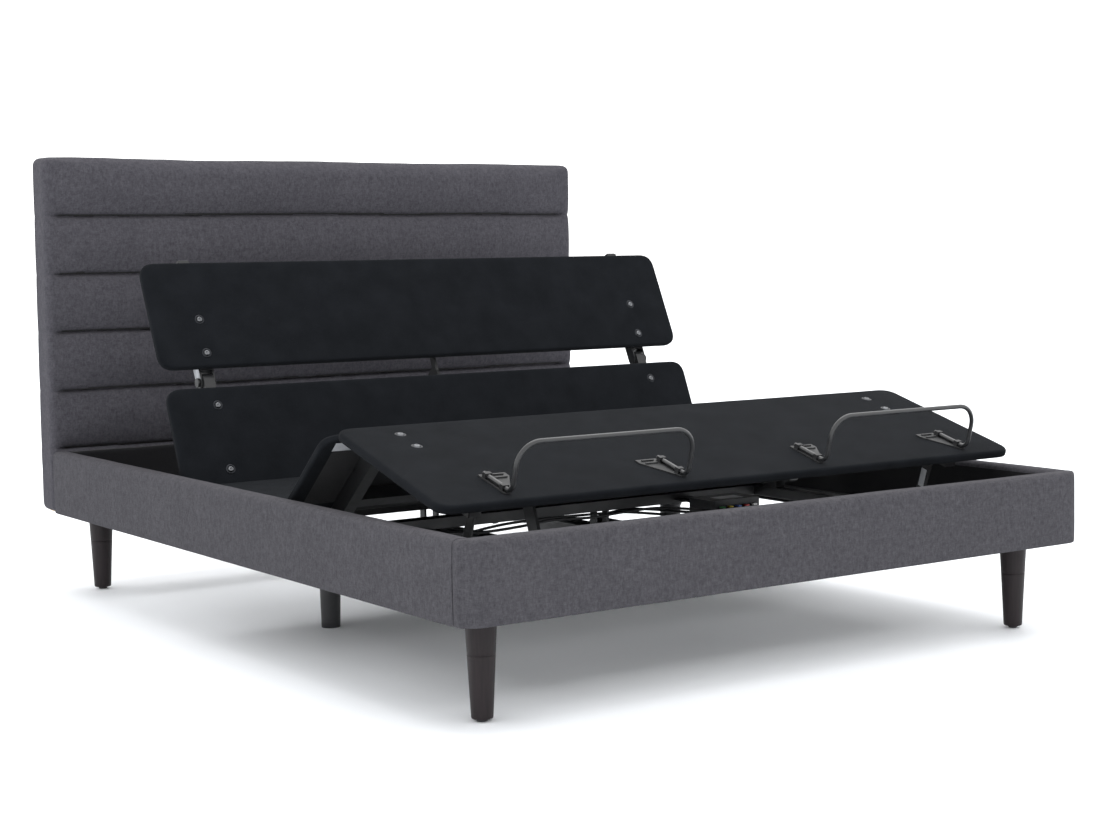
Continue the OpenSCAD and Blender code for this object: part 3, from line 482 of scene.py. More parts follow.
def node_extent(node, axes=WORLD_AXES):
    """Lowest and highest value of a CAD node's points along the given axes."""
    points = np.array([v.co for v in NODES[node].data.vertices]) @ np.array(axes, float)
    return points.min(0), points.max(0)


def panel_axes(node):
    """Axes of a flat CAD panel: across the bed, towards the head, and out of its upper face."""
    area = {}
    for face in NODES[node].data.polygons:
        n = face.normal if face.normal.z > 0 else -face.normal
        key = (round(n.y, 3), round(n.z, 3))
        if abs(n.x) < 0.01:
            area[key] = area.get(key, 0) + face.area
    y, z = max(area, key=area.get)
    normal = Vector((0, y, z)).normalized()
    across = Vector((1, 0, 0))
    return np.array([across, normal.cross(across), normal]).T


def revolve(profile, segments=32):
    """Solid of revolution about local z; profile is (radius, height) and ends on the axis."""
    points, faces, rings = [], [], []
    for radius, height in profile:
        if radius < 1e-6:
            rings.append([len(points)] * segments)
            points.append((0, 0, height))
            continue
        rings.append(list(range(len(points), len(points) + segments)))
        for k in range(segments):
            angle = 2 * math.pi * k / segments
            points.append((radius * math.cos(angle), radius * math.sin(angle), height))
    for lower, upper in zip(rings[:-1], rings[1:]):
        for k in range(segments):
            ring = [lower[k], lower[(k + 1) % segments], upper[(k + 1) % segments], upper[k]]
            face = list(dict.fromkeys(ring))
            if len(face) > 2:
                faces.append(face)
    return np.array(points, float), faces


def placed(shape, centre, axes=WORLD_AXES):
    """A shape turned so that its local x, y and z follow axes, and moved to centre."""
    points, faces = shape
    return points @ np.array(axes, float).T + np.array(centre, float), faces


def joined(shapes):
    points, faces, start = [], [], 0
    for p, f in shapes:
        points.append(p)
        faces += [[i + start for i in face] for face in f]
        start += len(p)
    return np.concatenate(points), faces


def block(size, bevel):
    """A small box with bevelled edges, centred on the origin."""
    slab = Slab(WORLD_AXES, -np.array(size) / 2, np.array(size) / 2, (bevel,) * 4, bevel,
                (bevel,) * 4, step=(max(size), max(size)), wall=max(size))
    return slab.world(), slab.faces


def coordinates_of(piece):
    flat = np.zeros(len(piece.data.vertices) * 3)
    piece.data.vertices.foreach_get("co", flat)
    return flat.reshape(-1, 3)


def blow_up(piece, freedom, pressure, cap, frames=20):
    """Cloth simulation: pressure swells the piece where freedom is above 0, by at most cap."""
    rest = coordinates_of(piece)
    group = piece.vertex_groups.new(name="held")
    held = np.round((1 - freedom) * 20).astype(int)
    for level in np.unique(held):
        if level > 0:
            group.add([int(i) for i in np.nonzero(held == level)[0]], float(level) / 20, "REPLACE")
    cloth = piece.modifiers.new("cloth", "CLOTH")
    settings = cloth.settings
    settings.vertex_group_mass = group.name
    settings.quality = 5
    settings.mass = 0.3
    settings.tension_stiffness = settings.compression_stiffness = 12
    settings.bending_stiffness = 0.4
    settings.use_pressure = True
    settings.uniform_pressure_force = pressure
    settings.effector_weights.gravity = 0
    cloth.collision_settings.use_collision = False
    cloth.point_cache.frame_start, cloth.point_cache.frame_end = 1, frames
    scene = bpy.context.scene
    for number in range(1, frames + 1):
        scene.frame_set(number)
    swollen = piece.evaluated_get(bpy.context.evaluated_depsgraph_get())
    flat = np.zeros(len(piece.data.vertices) * 3)
    swollen.data.vertices.foreach_get("co", flat)
    move = flat.reshape(-1, 3) - rest
    length = np.linalg.norm(move, axis=1, keepdims=True)
    move *= np.minimum(1, cap / np.maximum(length, 1e-9))
    piece.modifiers.remove(cloth)
    piece.vertex_groups.remove(group)
    piece.data.vertices.foreach_set("co", (rest + move).reshape(-1))
    piece.data.update()
    scene.frame_set(1)


# --------------------------------------------------------------- headboard

CHANNELS = 5
SEAM_DEPTH = 20 * MM
CREASE_DEPTH = 10 * MM   # the narrow crease at the bottom of a seam
SEAM_END = 44 * MM       # a seam fades out this far from the headboard's side


def make_headboard():
    """Five level puffed channels over a plain lower part, wrapped round the board."""
    low, high = node_extent("headboard_cover", HEADBOARD_AXES)
    rail_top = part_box("side_rail_cover_left")[1].z
    length, edge = high[1] - low[1], 18 * MM
    first = rail_top + 3 * MM - low[1]
    pitch = (length - first) / CHANNELS
    seams = [first + pitch * k for k in range(CHANNELS)]
    near = np.array([0, 1.5, 3.5, 6.5, 10]) * MM
    plain = [v for v in grid_lines(length, edge, edge, 11 * MM)
             if min(abs(v - s) for s in seams) > 13 * MM]
    lines = sorted(plain + [s + side * d for s in seams for d in near
                            for side in ({-1, 1} if d else {1})])
    slab = Slab(HEADBOARD_AXES, low, high, (edge,) * 4, 3 * MM, (22 * MM,) * 4,
                step=(11 * MM, 11 * MM), wall=9 * MM, v_lines=np.array(lines))
    u, v, n = slab.local.T
    width, _, depth = slab.size
    # Seams wander by a few millimetres
    row = np.round(v / pitch)
    drift = 3.0 * MM * ripple(np.stack([u, row, 0 * u], 1), (3.2, 1.7, 1))
    drift += 0.8 * MM * ripple(np.stack([u, row, 0 * u], 1), (17, 1.7, 1), 8)
    across = v - drift
    step = (across - first) / pitch
    t = np.where(step < 0, 0.5, step - np.floor(np.clip(step, 0, CHANNELS - 1)))
    t = np.where(step < 0, 0.5 + np.maximum(step * 1.6, -0.5), t)
    t = np.where(step > CHANNELS - 1, np.minimum(step - CHANNELS + 1, 0.5), t)
    puff = np.sqrt(np.clip(1 - (2 * t - 1) ** 2, 0, 1)) ** 0.8
    side = np.minimum(u, width - u)
    fade = smoothstep(side, 6 * MM, SEAM_END)
    seam_gap = np.min([np.abs(across - s) for s in seams], axis=0)
    front = slab.kind == 0
    forward = smoothstep(n, depth * 0.35, depth)
    grooves = (1 - puff) * (0.2 + 0.8 * fade) * SEAM_DEPTH
    grooves += CREASE_DEPTH * np.exp(-(seam_gap / (5 * MM)) ** 2) * smoothstep(side, 16 * MM, SEAM_END)
    slab.local[:, 2] -= np.where(front, grooves * forward, 0)
    # Sides swell between the seams, and the top is slightly wavy
    swell = (2.6 * puff - 1.2 * np.exp(-(seam_gap / (10 * MM)) ** 2)) * MM * (0.35 + 0.65 * forward)
    slab.local[:, 0] += np.where(side < 20 * MM, np.where(u < width / 2, -swell, swell), 0)
    wave = ripple(np.stack([u, 0 * u, 0 * u], 1), (4.5, 1, 1), 2) + 0.35 * ripple(
        np.stack([u, 0 * u, 0 * u], 1), (15, 1, 1), 3)
    slab.local[:, 1] += 3.2 * MM * (wave - 0.35) * (v / length) ** 9
    lumps = ripple(slab.local, (7, 9, 3), 4) + 0.5 * ripple(slab.local, (22, 26, 8), 5)
    slab.local[:, 2] += np.where(front, 1.1 * MM * lumps * puff, 0)
    # Short puckers run away from each seam
    pucker = ripple(np.stack([u, row, 0 * u], 1), (26, 2.3, 1), 7) * np.exp(-seam_gap / (22 * MM))
    slab.local[:, 2] += np.where(front, 1.8 * MM * pucker * fade * smoothstep(seam_gap, 0, 8 * MM), 0)

    piece = new_piece("headboard_upholstery", slab.world(), slab.faces,
                      [MATERIALS["headboard_fabric"], MATERIALS["black_cloth"]], "root",
                      "headboard_fabric", ["headboard_cover"],
                      lambda centre, normal: 1 if normal.z < -0.9 else 0)
    freedom = smoothstep(seam_gap, 1.5 * MM, 16 * MM) * (0.35 + 0.65 * fade)
    freedom = np.where(step < 0, freedom * 0.25, freedom)
    freedom = np.where(slab.kind == 2, freedom * forward * 0.5, freedom)
    freedom = np.where(slab.kind == 1, 0, freedom)
    blow_up(piece, freedom, 3.0, 9 * MM)
    subdivide(piece)


def make_back_cloth():
    """Thin black cloth stapled over the headboard's back."""
    low, high = node_extent("headboard_back_cloth", BACK_AXES)
    low[2] += 0.6 * MM
    high[2] = low[2] + 1.4 * MM
    slab = Slab(BACK_AXES, low, high, (0.5 * MM,) * 4, 0.3 * MM, (16 * MM,) * 4,
                step=(14 * MM, 14 * MM), wall=2 * MM)
    u, v, _ = slab.local.T
    width, length, _ = slab.size
    rim = smoothstep(slab.inset, 0, 60 * MM)
    around = (u + v) / (42 * MM)
    pucker = 0.5 * MM * np.sin(2 * math.pi * around) * np.exp(-slab.inset / (28 * MM))
    slack = 1.3 * MM * rim * (0.6 + ripple(slab.local, (3, 4, 1), 6))
    slab.local[:, 2] += pucker * smoothstep(slab.inset, 0, 10 * MM) + slack * 0.5
    cloth = new_piece("headboard_dust_cloth", slab.world(), slab.faces, [MATERIALS["black_cloth"]],
                      "root", "black_cloth", ["headboard_back_cloth"])
    staple = block((10 * MM, 1.2 * MM, 1.0 * MM), 0.3 * MM)
    shapes, margin, pitch = [], 9 * MM, 42 * MM
    top = high[2] + 0.3 * MM
    for k in range(1, round(width / pitch)):
        at = low[0] + width * k / round(width / pitch)
        for edge_v in (low[1] + margin, high[1] - margin):
            shapes.append(placed(staple, BACK_AXES @ np.array([at, edge_v, top]), BACK_AXES))
    turned = BACK_AXES @ np.array([[0, -1, 0], [1, 0, 0], [0, 0, 1]])
    for k in range(1, round(length / pitch)):
        at = low[1] + length * k / round(length / pitch)
        for edge_u in (low[0] + margin, high[0] - margin):
            shapes.append(placed(staple, BACK_AXES @ np.array([edge_u, at, top]), turned))
    new_piece("dust_cloth_staples", *joined(shapes), [MATERIALS["zinc_steel"]], "root", "zinc_steel")


make_headboard()
make_back_cloth()


# ------------------------------------------------------------------- rails

RAIL_EDGE = 12 * MM
LINING_TOP = 12 * MM      # the inside lining stops this far below a rail's top


def rail_puff(slab, face, seed):
    """Foam under the cloth: a shallow swell on the walls and soft unevenness everywhere."""
    u, v, n = slab.local.T
    width, length, depth = slab.size
    height = np.clip(n / depth, 0, 1)
    swell = 1.6 * MM * np.sin(math.pi * height) ** 0.8
    lumps = (0.9 * MM * ripple(slab.local, (9, 9, 12), seed)
             + 0.4 * MM * ripple(slab.local, (34, 34, 6), seed + 1))
    on_low_u, on_high_u = u < 1.0 * MM, u > width - 1.0 * MM
    on_low_v, on_high_v = v < 1.0 * MM, v > length - 1.0 * MM
    out = swell + lumps
    if face == "u":
        slab.local[:, 0] += np.where(on_high_u, out, 0) - np.where(on_low_u, out * 0.4, 0)
    else:
        slab.local[:, 1] += np.where(on_high_v, out * 0.4, 0) - np.where(on_low_v, out, 0)
        slab.local[:, 0] += np.where(on_high_u, out, 0) - np.where(on_low_u, out, 0)
    crown = (0.7 * ripple(slab.local, (6, 6, 1), seed + 2)
             + 0.35 * ripple(slab.local, (25, 25, 1), seed + 3)) * MM
    slab.local[:, 2] += np.where(slab.kind == 0, crown, 0)


def make_side_rail(name, outward):
    """Side rail's cloth: rounded top, charcoal outside and black lining inside."""
    node = "side_rail_cover_" + name
    low, high = node_extent(node)
    low[2] -= 0.6 * MM
    edges = (RAIL_EDGE, RAIL_EDGE, 3 * MM, 2 * MM)
    slab = Slab(WORLD_AXES, low, high, edges, 3 * MM, (3 * MM,) * 4,
                step=(5 * MM, 13 * MM), wall=13 * MM)
    if outward < 0:
        slab.local[:, 0] = slab.size[0] - slab.local[:, 0]
    rail_puff(slab, "u", 10 + outward)
    if outward < 0:
        slab.local[:, 0] = slab.size[0] - slab.local[:, 0]
    # Upright pulls in the cloth near the foot end
    v = slab.local[:, 1]
    pull = 1.1 * MM * np.exp(-v / 0.22) * smoothstep(v, 0, 40 * MM)
    pull *= ripple(slab.local * [0, 1, 0.15], (1, 42, 42), 20)
    outer = slab.local[:, 0] * outward > (slab.size[0] * 0.9 if outward > 0 else -slab.size[0] * 0.1)
    slab.local[:, 0] += np.where(outer, outward * pull, 0)
    limit = high[2] - LINING_TOP

    def side_material(centre, normal):
        inside = normal.x * outward < -0.7 and centre.z < limit
        return 1 if inside or normal.z < -0.9 else 0

    piece = new_piece("side_rail_upholstery_" + name, slab.world(), slab.faces,
                      [MATERIALS["rail_fabric"], MATERIALS["black_cloth"]], "root", "rail_fabric",
                      [node], side_material)
    subdivide(piece)


def make_foot_rail():
    """Foot rail's cloth, with upright round ends that the side rails meet in a seam."""
    low, high = node_extent("foot_rail_cover")
    low[2] -= 0.6 * MM
    slab = Slab(WORLD_AXES, low, high, (RAIL_EDGE, RAIL_EDGE, RAIL_EDGE, 6 * MM), 3 * MM,
                (44 * MM, 44 * MM, 4 * MM, 4 * MM), step=(13 * MM, 5 * MM), wall=13 * MM)
    rail_puff(slab, "v", 30)
    limit = high[2] - LINING_TOP
    piece = new_piece("foot_rail_upholstery", slab.world(), slab.faces,
                      [MATERIALS["rail_fabric"], MATERIALS["black_cloth"]], "root", "rail_fabric",
                      ["foot_rail_cover"],
                      lambda c, n: 1 if (n.y > 0.7 and c.z < limit) or n.z < -0.9 else 0)
    subdivide(piece)


def make_head_rail():
    """Black cloth over the rail in front of the headboard."""
    low, high = node_extent("head_rail")
    slab = Slab(WORLD_AXES, low, high, (4 * MM, 4 * MM, 8 * MM, 8 * MM), 2 * MM, (2 * MM,) * 4,
                step=(14 * MM, 5 * MM), wall=14 * MM)
    slab.local[:, 2] += np.where(slab.kind == 0, 0.9 * MM * ripple(slab.local, (8, 8, 1), 40), 0)
    piece = new_piece("head_rail_cloth", slab.world(), slab.faces, [MATERIALS["black_cloth"]],
                      "root", "black_cloth", ["head_rail"])
    subdivide(piece)


make_side_rail("left", -1)
make_side_rail("right", 1)
make_foot_rail()
make_head_rail()


# ------------------------------------------------------------- deck panels

PANEL_EDGE = 7 * MM
BOLT_REACH = 45 * MM      # points of one bolt lie within this of each other


def bolt_places(node, axes):
    """Middle of each bolt head of a node, along the panel's axes."""
    points = np.array([v.co for v in NODES[node].data.vertices]) @ axes
    heads = points[points[:, 2] > points[:, 2].max() - 1.0 * MM]
    places = []
    for p in heads:
        if all(np.linalg.norm(p[:2] - q[0][:2]) > BOLT_REACH for q in places):
            places.append((p, heads[np.linalg.norm(heads[:, :2] - p[:2], axis=1) < BOLT_REACH]))
    return [group.min(0) / 2 + group.max(0) / 2 for _, group in places]


def make_bolt_heads(name, body, places, axes, seat):
    """Cup washer in dark plating, a painted shade, round a button head in brighter plating, a painted
    highlight, with a hexagon socket.
    """
    washer = [(0, -1.5), (12.2, -1.5), (12.5, 0.3), (11.8, 1.5), (10.2, 2.1), (8.6, 1.6), (7.6, 0.4)]
    head = [(7.0, 0.4), (7.0, 1.9), (6.4, 3.2), (5.0, 4.1), (3.4, 4.5), (3.0, 4.3), (2.8, 2.6), (0, 2.3)]
    profile = [(r * MM, h * MM) for r, h in washer + head]
    shape = revolve(profile, 32)
    shapes = [placed(shape, axes @ np.array([p[0], p[1], seat]), axes) for p in places]
    piece = new_piece(name, *joined(shapes), [MATERIALS["bolt_chrome"], BOLT_HEAD_HIGHLIGHT], body, "bolt_chrome",
                      [name.replace("_heads", "")])
    # Head faces get the brighter plating, the painted highlight; washer faces keep the dark plating, the
    # painted shade.
    rings_of_faces = (len(profile) - 1) * 32
    for number, face in enumerate(piece.data.polygons):
        if (number % rings_of_faces) // 32 >= len(washer):
            face.material_index = 1


def make_panel(node, body, corner, bolts=None):
    """Cloth-wrapped board: soft edges, dimples at the bolts, and a lined underside."""
    axes = panel_axes(node)
    low, high = node_extent(node, axes)
    slab = Slab(axes, low, high, (PANEL_EDGE,) * 4, 5 * MM, (corner,) * 4,
                step=(13 * MM, 11 * MM), wall=5 * MM)
    u, v, _ = slab.local.T
    top, under = slab.kind == 0, slab.kind == 1
    soft = 0.35 * MM * ripple(slab.world(), (16, 16, 16), len(node))
    slab.local[:, 2] += np.where(top, soft - 0.9 * MM * (1 - smoothstep(slab.inset, 5 * MM, 70 * MM)), 0)
    slab.local[:, 2] += np.where(under, 0.9 * MM * smoothstep(slab.inset, 24 * MM, 27 * MM), 0)
    places = bolt_places(bolts, axes) if bolts else []
    for p in places:
        away = np.hypot(u + low[0] - p[0], v + low[1] - p[1])
        dimple = 1.9 * MM * np.exp(-np.maximum(away - 10 * MM, 0) / (9 * MM))
        slab.local[:, 2] -= np.where(top, dimple, 0)

    piece = new_piece(node + "_cloth", slab.world(), slab.faces,
                      [MATERIALS["deck_fabric"], MATERIALS["black_cloth"]], body, "deck_fabric",
                      [node])
    inner = {i for i in range(len(slab.inset)) if under[i] and slab.inset[i] > 26 * MM}
    for face in piece.data.polygons:
        if all(i in inner for i in face.vertices):
            face.material_index = 1
    subdivide(piece)
    if places:
        make_bolt_heads(bolts + "_heads", body, places, axes, high[2] - 2.2 * MM)


for panel, section in (("back_panel", "back_section"), ("pillow_panel", "pillow_section"),
                       ("thigh_panel", "thigh_section"), ("calf_panel", "calf_section")):
    make_panel(panel, section, 34 * MM, panel + "_bolts")
make_panel("seat_panel", "root", 20 * MM)


# -------------------------------------------------------------------- legs


LEG_TAPER = 0.775         # a leg's radius at the floor, as a share of that at its joint


def make_legs():
    """Each leg is a turned cone; the short block above it leaves a fine joint line."""
    block_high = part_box("leg_blocks")[1]
    shapes = []
    for name in ("leg_front_left", "leg_front_right", "leg_rear_left", "leg_rear_right"):
        low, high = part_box(name)
        x, y = (low.x + high.x) / 2, (low.y + high.y) / 2
        joint_r = (high.x - low.x) / 2
        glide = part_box("leg_glides")[1].z
        bottom_r = joint_r * LEG_TAPER
        profile = [(0, glide), (bottom_r - 3 * MM, glide), (bottom_r - 0.9 * MM, glide + 0.9 * MM),
                   (bottom_r, glide + 3 * MM)]
        profile += [(bottom_r + (joint_r - bottom_r) * t,
                     glide + 3 * MM + (high.z - glide - 3.6 * MM) * t)
                    for t in np.linspace(0.05, 1, 18)]
        profile += [(joint_r - 0.5 * MM, high.z), (0, high.z)]
        piece = new_piece(name + "_turned", *placed(revolve(profile, 48), (x, y, 0)),
                          [MATERIALS["espresso_wood"]], "root", "espresso_wood", [name])
        crisp(piece, 50)
        flare_r = block_high.x - abs(x)
        profile = [(0, high.z + 0.1 * MM), (joint_r - 0.5 * MM, high.z + 0.1 * MM),
                   (joint_r + 0.05 * MM, high.z + 0.7 * MM)]
        profile += [(joint_r + (flare_r - joint_r) * t, high.z + 0.7 * MM + 73.5 * MM * t)
                    for t in np.linspace(0.1, 1, 8)]
        profile += [(0, high.z + 74.2 * MM)]
        shapes.append(placed(revolve(profile, 48), (x, y, 0)))
    blocks = new_piece("leg_top_blocks", *joined(shapes), [MATERIALS["espresso_wood"]], "root",
                       "espresso_wood", ["leg_blocks"])
    crisp(blocks, 50)


make_legs()


# ------------------------------------------------------------------- leads

LEAD_R = 3.5 * MM
HEAD_LEAD_ROUTE = [
    (213, 1, 178), (213, 7, 178), (213, 15, 178), (222, 29, 187), (240, 18, 200), (256, -20, 214),
    (270, -80, 226), (290, -150, 230), (308, -230, 232), (316, -310, 236), (322, -352, 240),
    (334, -374, 242), (350, -379, 242), (355, -370, 241), (355, -361, 241), (355, -350, 241),
]
FOOT_LEAD_ROUTE = [
    (-213, 91, 178), (-213, 85, 178), (-213, 77, 178), (-211, 45, 175), (-204, 6, 184),
    (-180, -38, 204), (-110, -78, 222), (0, -84, 226), (120, -86, 225), (225, -100, 224), (272, -180, 224),
    (292, -270, 226), (302, -344, 236), (316, -382, 241), (346, -397, 243), (372, -390, 242),
    (380, -370, 241), (380, -361, 241), (380, -350, 241),
]
FRAME_LEAD_ROUTE = [
    (-330, -126, 224), (-322, -126, 224), (-312, -126, 224), (-270, -138, 223), (-200, -144, 220),
    (-100, -140, 223), (0, -138, 230), (100, -142, 226), (200, -150, 232), (262, -190, 240),
    (280, -270, 246), (286, -350, 250), (304, -398, 250), (350, -413, 248), (392, -405, 245),
    (405, -384, 241), (405, -370, 241), (405, -350, 241),
]


def through(points, steps=8):
    """Points of a Catmull-Rom curve through the given ones."""
    p = [points[0]] + list(points) + [points[-1]]
    found = []
    for a, b, c, d in zip(p[:-3], p[1:-2], p[2:-1], p[3:]):
        a, b, c, d = (np.array(q, float) for q in (a, b, c, d))
        for k in range(steps):
            t = k / steps
            found.append(0.5 * (2 * b + (c - a) * t + (2 * a - 5 * b + 4 * c - d) * t * t
                                + (3 * b - a - 3 * c + d) * t ** 3))
    return found + [np.array(points[-1], float)]


def make_lead(name, route, body="root", radius=LEAD_R):
    """Round jacketed lead along its route, in place of the plain CAD tube."""
    data = bpy.data.curves.new(name + "_jacket", "CURVE")
    data.dimensions = "3D"
    data.bevel_depth = radius
    data.bevel_resolution = 4
    data.use_fill_caps = True
    line = through([np.array(p) * MM for p in route])
    spline = data.splines.new("POLY")
    spline.points.add(len(line) - 1)
    for point, place in zip(spline.points, line):
        point.co = (*place, 1)
    spline.use_smooth = True
    data.materials.append(MATERIALS["lead_rubber"])
    lead = bpy.data.objects.new(name + "_jacket", data)
    bpy.context.collection.objects.link(lead)
    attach(lead, body)
    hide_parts(name)


make_lead("head_lead", HEAD_LEAD_ROUTE)
make_lead("foot_lead", FOOT_LEAD_ROUTE)
make_lead("frame_lead", FRAME_LEAD_ROUTE)


def boot(place, direction, length=16 * MM):
    """Tapered strain relief where a lead enters a housing."""
    profile = [(0, -1), (6.2, -1), (6.4, 0), (6.0, 2), (5.4, 8), (4.6, 15), (4.0, 16), (0, 16)]
    scale = length / 16
    away = Vector(direction).normalized()
    side = away.orthogonal().normalized()
    axes = np.array([side, away.cross(side), away]).T
    shape = revolve([(r * MM, h * scale) for r, h in profile], 20)
    return placed(shape, np.array(place) * MM, axes)


PANEL_START, PANEL_UNDERSIDE = 14, 20     # of the back panel, from its hinge line


def local_route(route, axes, node):
    """Route given across the bed, along a section and out of its panel, in world millimetres."""
    low, _ = node_extent(node, axes)
    start = np.array([0, low[1] / MM - PANEL_START, low[2] / MM - PANEL_UNDERSIDE])
    return [axes @ (np.array(p) + start) for p in route]


PILLOW_LEAD_ROUTE = [
    (52, 70, -70), (52, 62, -70), (52, 54, -70), (52, 34, -64), (54, 14, -50), (56, 2, -38),
    (56, 0, -30), (56, 0, -24), (56, 0, -19),
]
pillow_route = local_route(PILLOW_LEAD_ROUTE, panel_axes("back_panel"), "back_panel")
make_lead("pillow_lead", pillow_route, "back_section")

root_boots = [
    boot(HEAD_LEAD_ROUTE[0], (0, 1, 0)), boot(FOOT_LEAD_ROUTE[0], (0, -1, 0)),
    boot(FRAME_LEAD_ROUTE[0], (1, 0, 0)),
] + [boot(route[-1], (0, -1, 0)) for route in (HEAD_LEAD_ROUTE, FOOT_LEAD_ROUTE, FRAME_LEAD_ROUTE)]
new_piece("lead_boots", *joined(root_boots), [MATERIALS["lead_rubber"]], "root", "lead_rubber")
back_boots = [boot(pillow_route[0], np.array(pillow_route[1]) - np.array(pillow_route[0]))]
new_piece("pillow_lead_boot", *joined(back_boots), [MATERIALS["lead_rubber"]], "back_section",
          "lead_rubber")


# ------------------------------------------------------------ small details


def sticker(name, body, centre, axes, size, slot, material=PAPER):
    """Blank label standing 0.3 mm off its surface; axes hold its width, height and normal."""
    thickness = 0.5 * MM
    shape = block((size[0], size[1], thickness), 0.15 * MM)
    piece = new_piece(name, *placed(shape, centre, axes), [material], body, slot)
    crisp(piece)


TUBE_X = 0.650            # middle of every longitudinal tube


def make_connectors():
    """Coloured latches on the control box's sockets, and plain labels."""
    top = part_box("control_box")[1].z
    tints = [("green", (0.05, 0.30, 0.08)), ("yellow", (0.55, 0.42, 0.05)), ("blue", (0.03, 0.09, 0.35)),
             ("red", (0.42, 0.03, 0.03)), ("white", (0.6, 0.6, 0.6))]
    for (tint, rgb), x in zip(tints, (355, 380, 405, 430, 455)):
        material = moulded("latch_" + tint, colour(*rgb), 0.4)
        shape = block((11 * MM, 12 * MM, 3.4 * MM), 0.8 * MM)
        piece = new_piece("socket_latch_" + tint, *placed(shape, (x * MM, -0.3455, 0.2494)),
                          [material], "root", "housing_plastic")
        crisp(piece)
    upright = np.array([[1, 0, 0], [0, 0, 1], [0, -1, 0]]).T
    sticker("control_box_front_label", "root", (0.405, -0.3402, 0.2195), upright,
            (110 * MM, 9 * MM), "housing_plastic")
    sticker("control_box_label", "root", (0.405, -0.300, top + 0.2 * MM), WORLD_AXES,
            (74 * MM, 40 * MM), "housing_plastic")
    low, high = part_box("power_supply")
    sticker("power_supply_label", "root",
            (low.x / 2 + high.x / 2, low.y / 2 + high.y / 2, high.z + 0.2 * MM),
            WORLD_AXES, (80 * MM, 38 * MM), "housing_plastic")


def make_deck_labels():
    """Blank label under the thigh panel and a blank tag on the right calf link."""
    axes = panel_axes("thigh_panel")
    low, _ = node_extent("thigh_panel", axes)
    underside = axes @ np.diag([1, -1, -1])
    corner = np.array([low[0] + 53 * MM, low[1] + 23 * MM, low[2] - 0.1 * MM])
    sticker("thigh_label", "thigh_section", axes @ corner, underside, (46 * MM, 28 * MM),
            "deck_fabric")
    link = np.array([v.co for v in NODES["calf_links"].data.vertices])
    right = link[link[:, 0] > 0]
    foot_end, head_end = right[right[:, 2].argmin()], right[right[:, 2].argmax()]
    along = Vector((0, head_end[1] - foot_end[1], head_end[2] - foot_end[2])).normalized()
    face = Vector((-1, 0, 0))
    centre = (foot_end + head_end) / 2 + np.array(along) * 12 * MM
    centre[0] = right[:, 0].min() - 0.3 * MM
    sticker("link_tag", "calf_links", centre, np.array([face.cross(along), along, face]).T * [-1, 1, 1],
            (17 * MM, 44 * MM), "black_steel")


def make_hinge_covers():
    """Pale zinc outer faces of the plates that join the pillow's tubes to the back's."""
    axes = panel_axes("pillow_panel")
    low, high = node_extent("pillow_frame", axes)
    hinge = node_extent("pillow_hinge_bolts", axes)
    middle = (hinge[0] + hinge[1]) / 2
    shapes = []
    for side in (-1, 1):
        face = (high[0] if side > 0 else low[0]) + side * 0.4 * MM
        turned = axes @ np.array([[0, 0, side], [1, 0, 0], [0, side, 0]])
        shape = block((64 * MM, 29 * MM, 0.8 * MM), 0.3 * MM)
        shapes.append(placed(shape, axes @ np.array([face, middle[1] + 36 * MM, middle[2]]), turned))
    piece = new_piece("hinge_plate_faces", *joined(shapes), [MATERIALS["zinc_steel"]],
                      "pillow_section", "zinc_steel")
    crisp(piece)


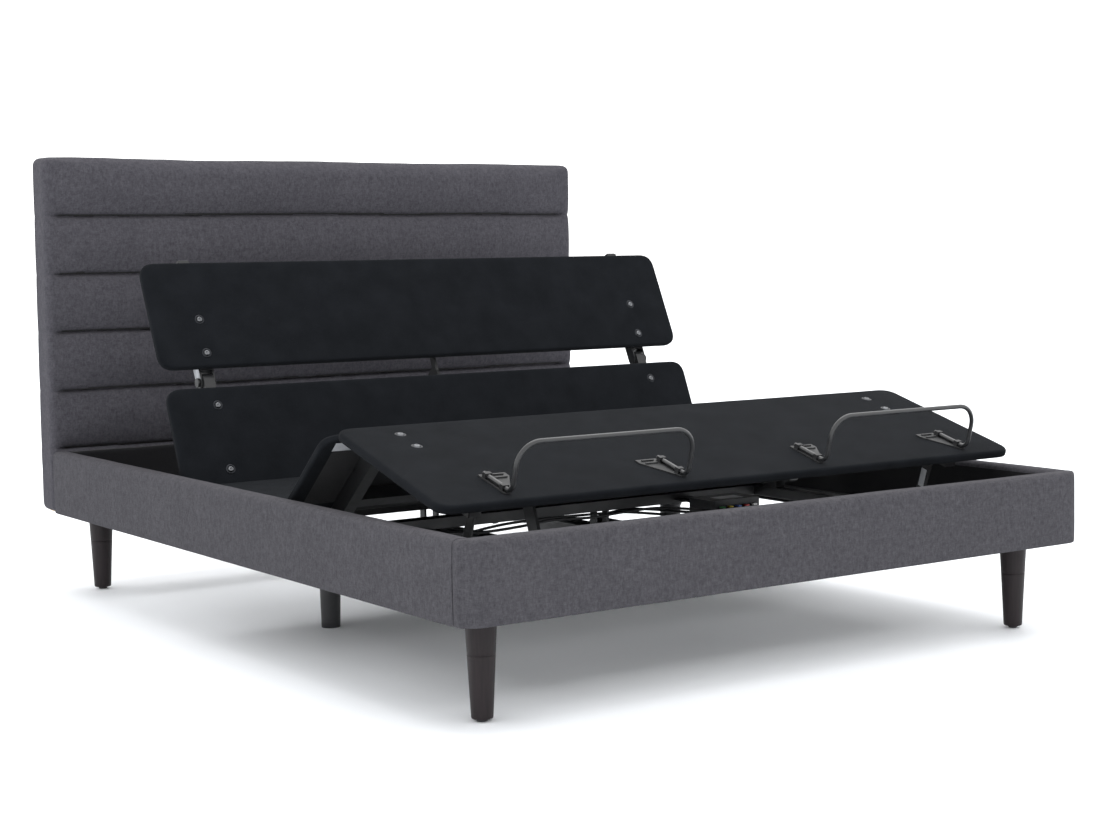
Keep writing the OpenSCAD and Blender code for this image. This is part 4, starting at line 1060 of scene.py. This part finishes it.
def make_end_plugs():
    """Black inserts in the open ends of the deck's tubes and the base's tubes."""
    plug = block((26 * MM, 3 * MM, 36 * MM), 1.2 * MM)
    for node, body, end in (("pillow_frame", "pillow_section", 1), ("calf_frame", "calf_section", -1)):
        axes = panel_axes(node.replace("frame", "panel"))
        low, high = node_extent(node, axes)
        at = high[1] + 0.9 * MM if end > 0 else low[1] - 0.9 * MM
        shapes = [placed(plug, axes @ np.array([side * TUBE_X, at, tube_middle(node, axes)]), axes)
                  for side in (-1, 1)]
        crisp(new_piece(node + "_end_plugs", *joined(shapes), [MATERIALS["black_plastic"]], body,
                        "black_plastic"))
    low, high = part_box("base_side_tubes")
    plug = block((26 * MM, 3 * MM, 22 * MM), 1.2 * MM)
    shapes = [placed(plug, (side * TUBE_X, y, (low.z + high.z) / 2))
              for side in (-1, 1) for y in (low.y - 0.9 * MM, high.y + 0.9 * MM)]
    crisp(new_piece("base_tube_end_plugs", *joined(shapes), [MATERIALS["black_plastic"]], "root",
                    "black_plastic"))


def tube_middle(node, axes):
    """Height of a section's tubes along its panel's normal: 20 mm under the panel."""
    return node_extent(node.replace("frame", "panel"), axes)[0][2] - 20 * MM


make_connectors()
make_deck_labels()
make_hinge_covers()
make_end_plugs()


# ------------------------------------------------------- floor and lighting


SKY_STRENGTH = 1.65
SUN_STRENGTH, SUN_ANGLE = 1.1, math.radians(55)


def make_floor():
    data = bpy.data.meshes.new("floor")
    half = 30
    data.from_pydata([(-half, -half, 0), (half, -half, 0), (half, half, 0), (-half, half, 0)], [],
                     [(0, 1, 2, 3)])
    s = Shader("floor", Roughness=0.65, Specular_IOR_Level=0.2)
    tint = s.noise((0.7, 0.7, 0.7), 2, 0.5, seed=20)
    s.set(Base_Color=s.blend(tint, colour(0.875, 0.90, 0.93), colour(0.895, 0.912, 0.935)))
    data.materials.append(s.material)
    floor = bpy.data.objects.new("floor", data)
    floor.location.z = -0.5 * MM
    bpy.context.collection.objects.link(floor)


def make_light():
    """White surroundings and a broad soft light from above, right and behind."""
    world = bpy.data.worlds.new("studio")
    world.use_nodes = True
    background = world.node_tree.nodes["Background"]
    background.inputs["Color"].default_value = (1, 1, 1, 1)
    background.inputs["Strength"].default_value = SKY_STRENGTH
    bpy.context.scene.world = world
    data = bpy.data.lights.new("overhead", "SUN")
    data.energy = SUN_STRENGTH
    data.angle = SUN_ANGLE
    light = bpy.data.objects.new("overhead", data)
    light.rotation_euler = Vector((-0.45, -0.35, -1.6)).to_track_quat("-Z", "Y").to_euler()
    bpy.context.collection.objects.link(light)
    bpy.context.scene.view_settings.view_transform = "Standard"


make_floor()
make_light()
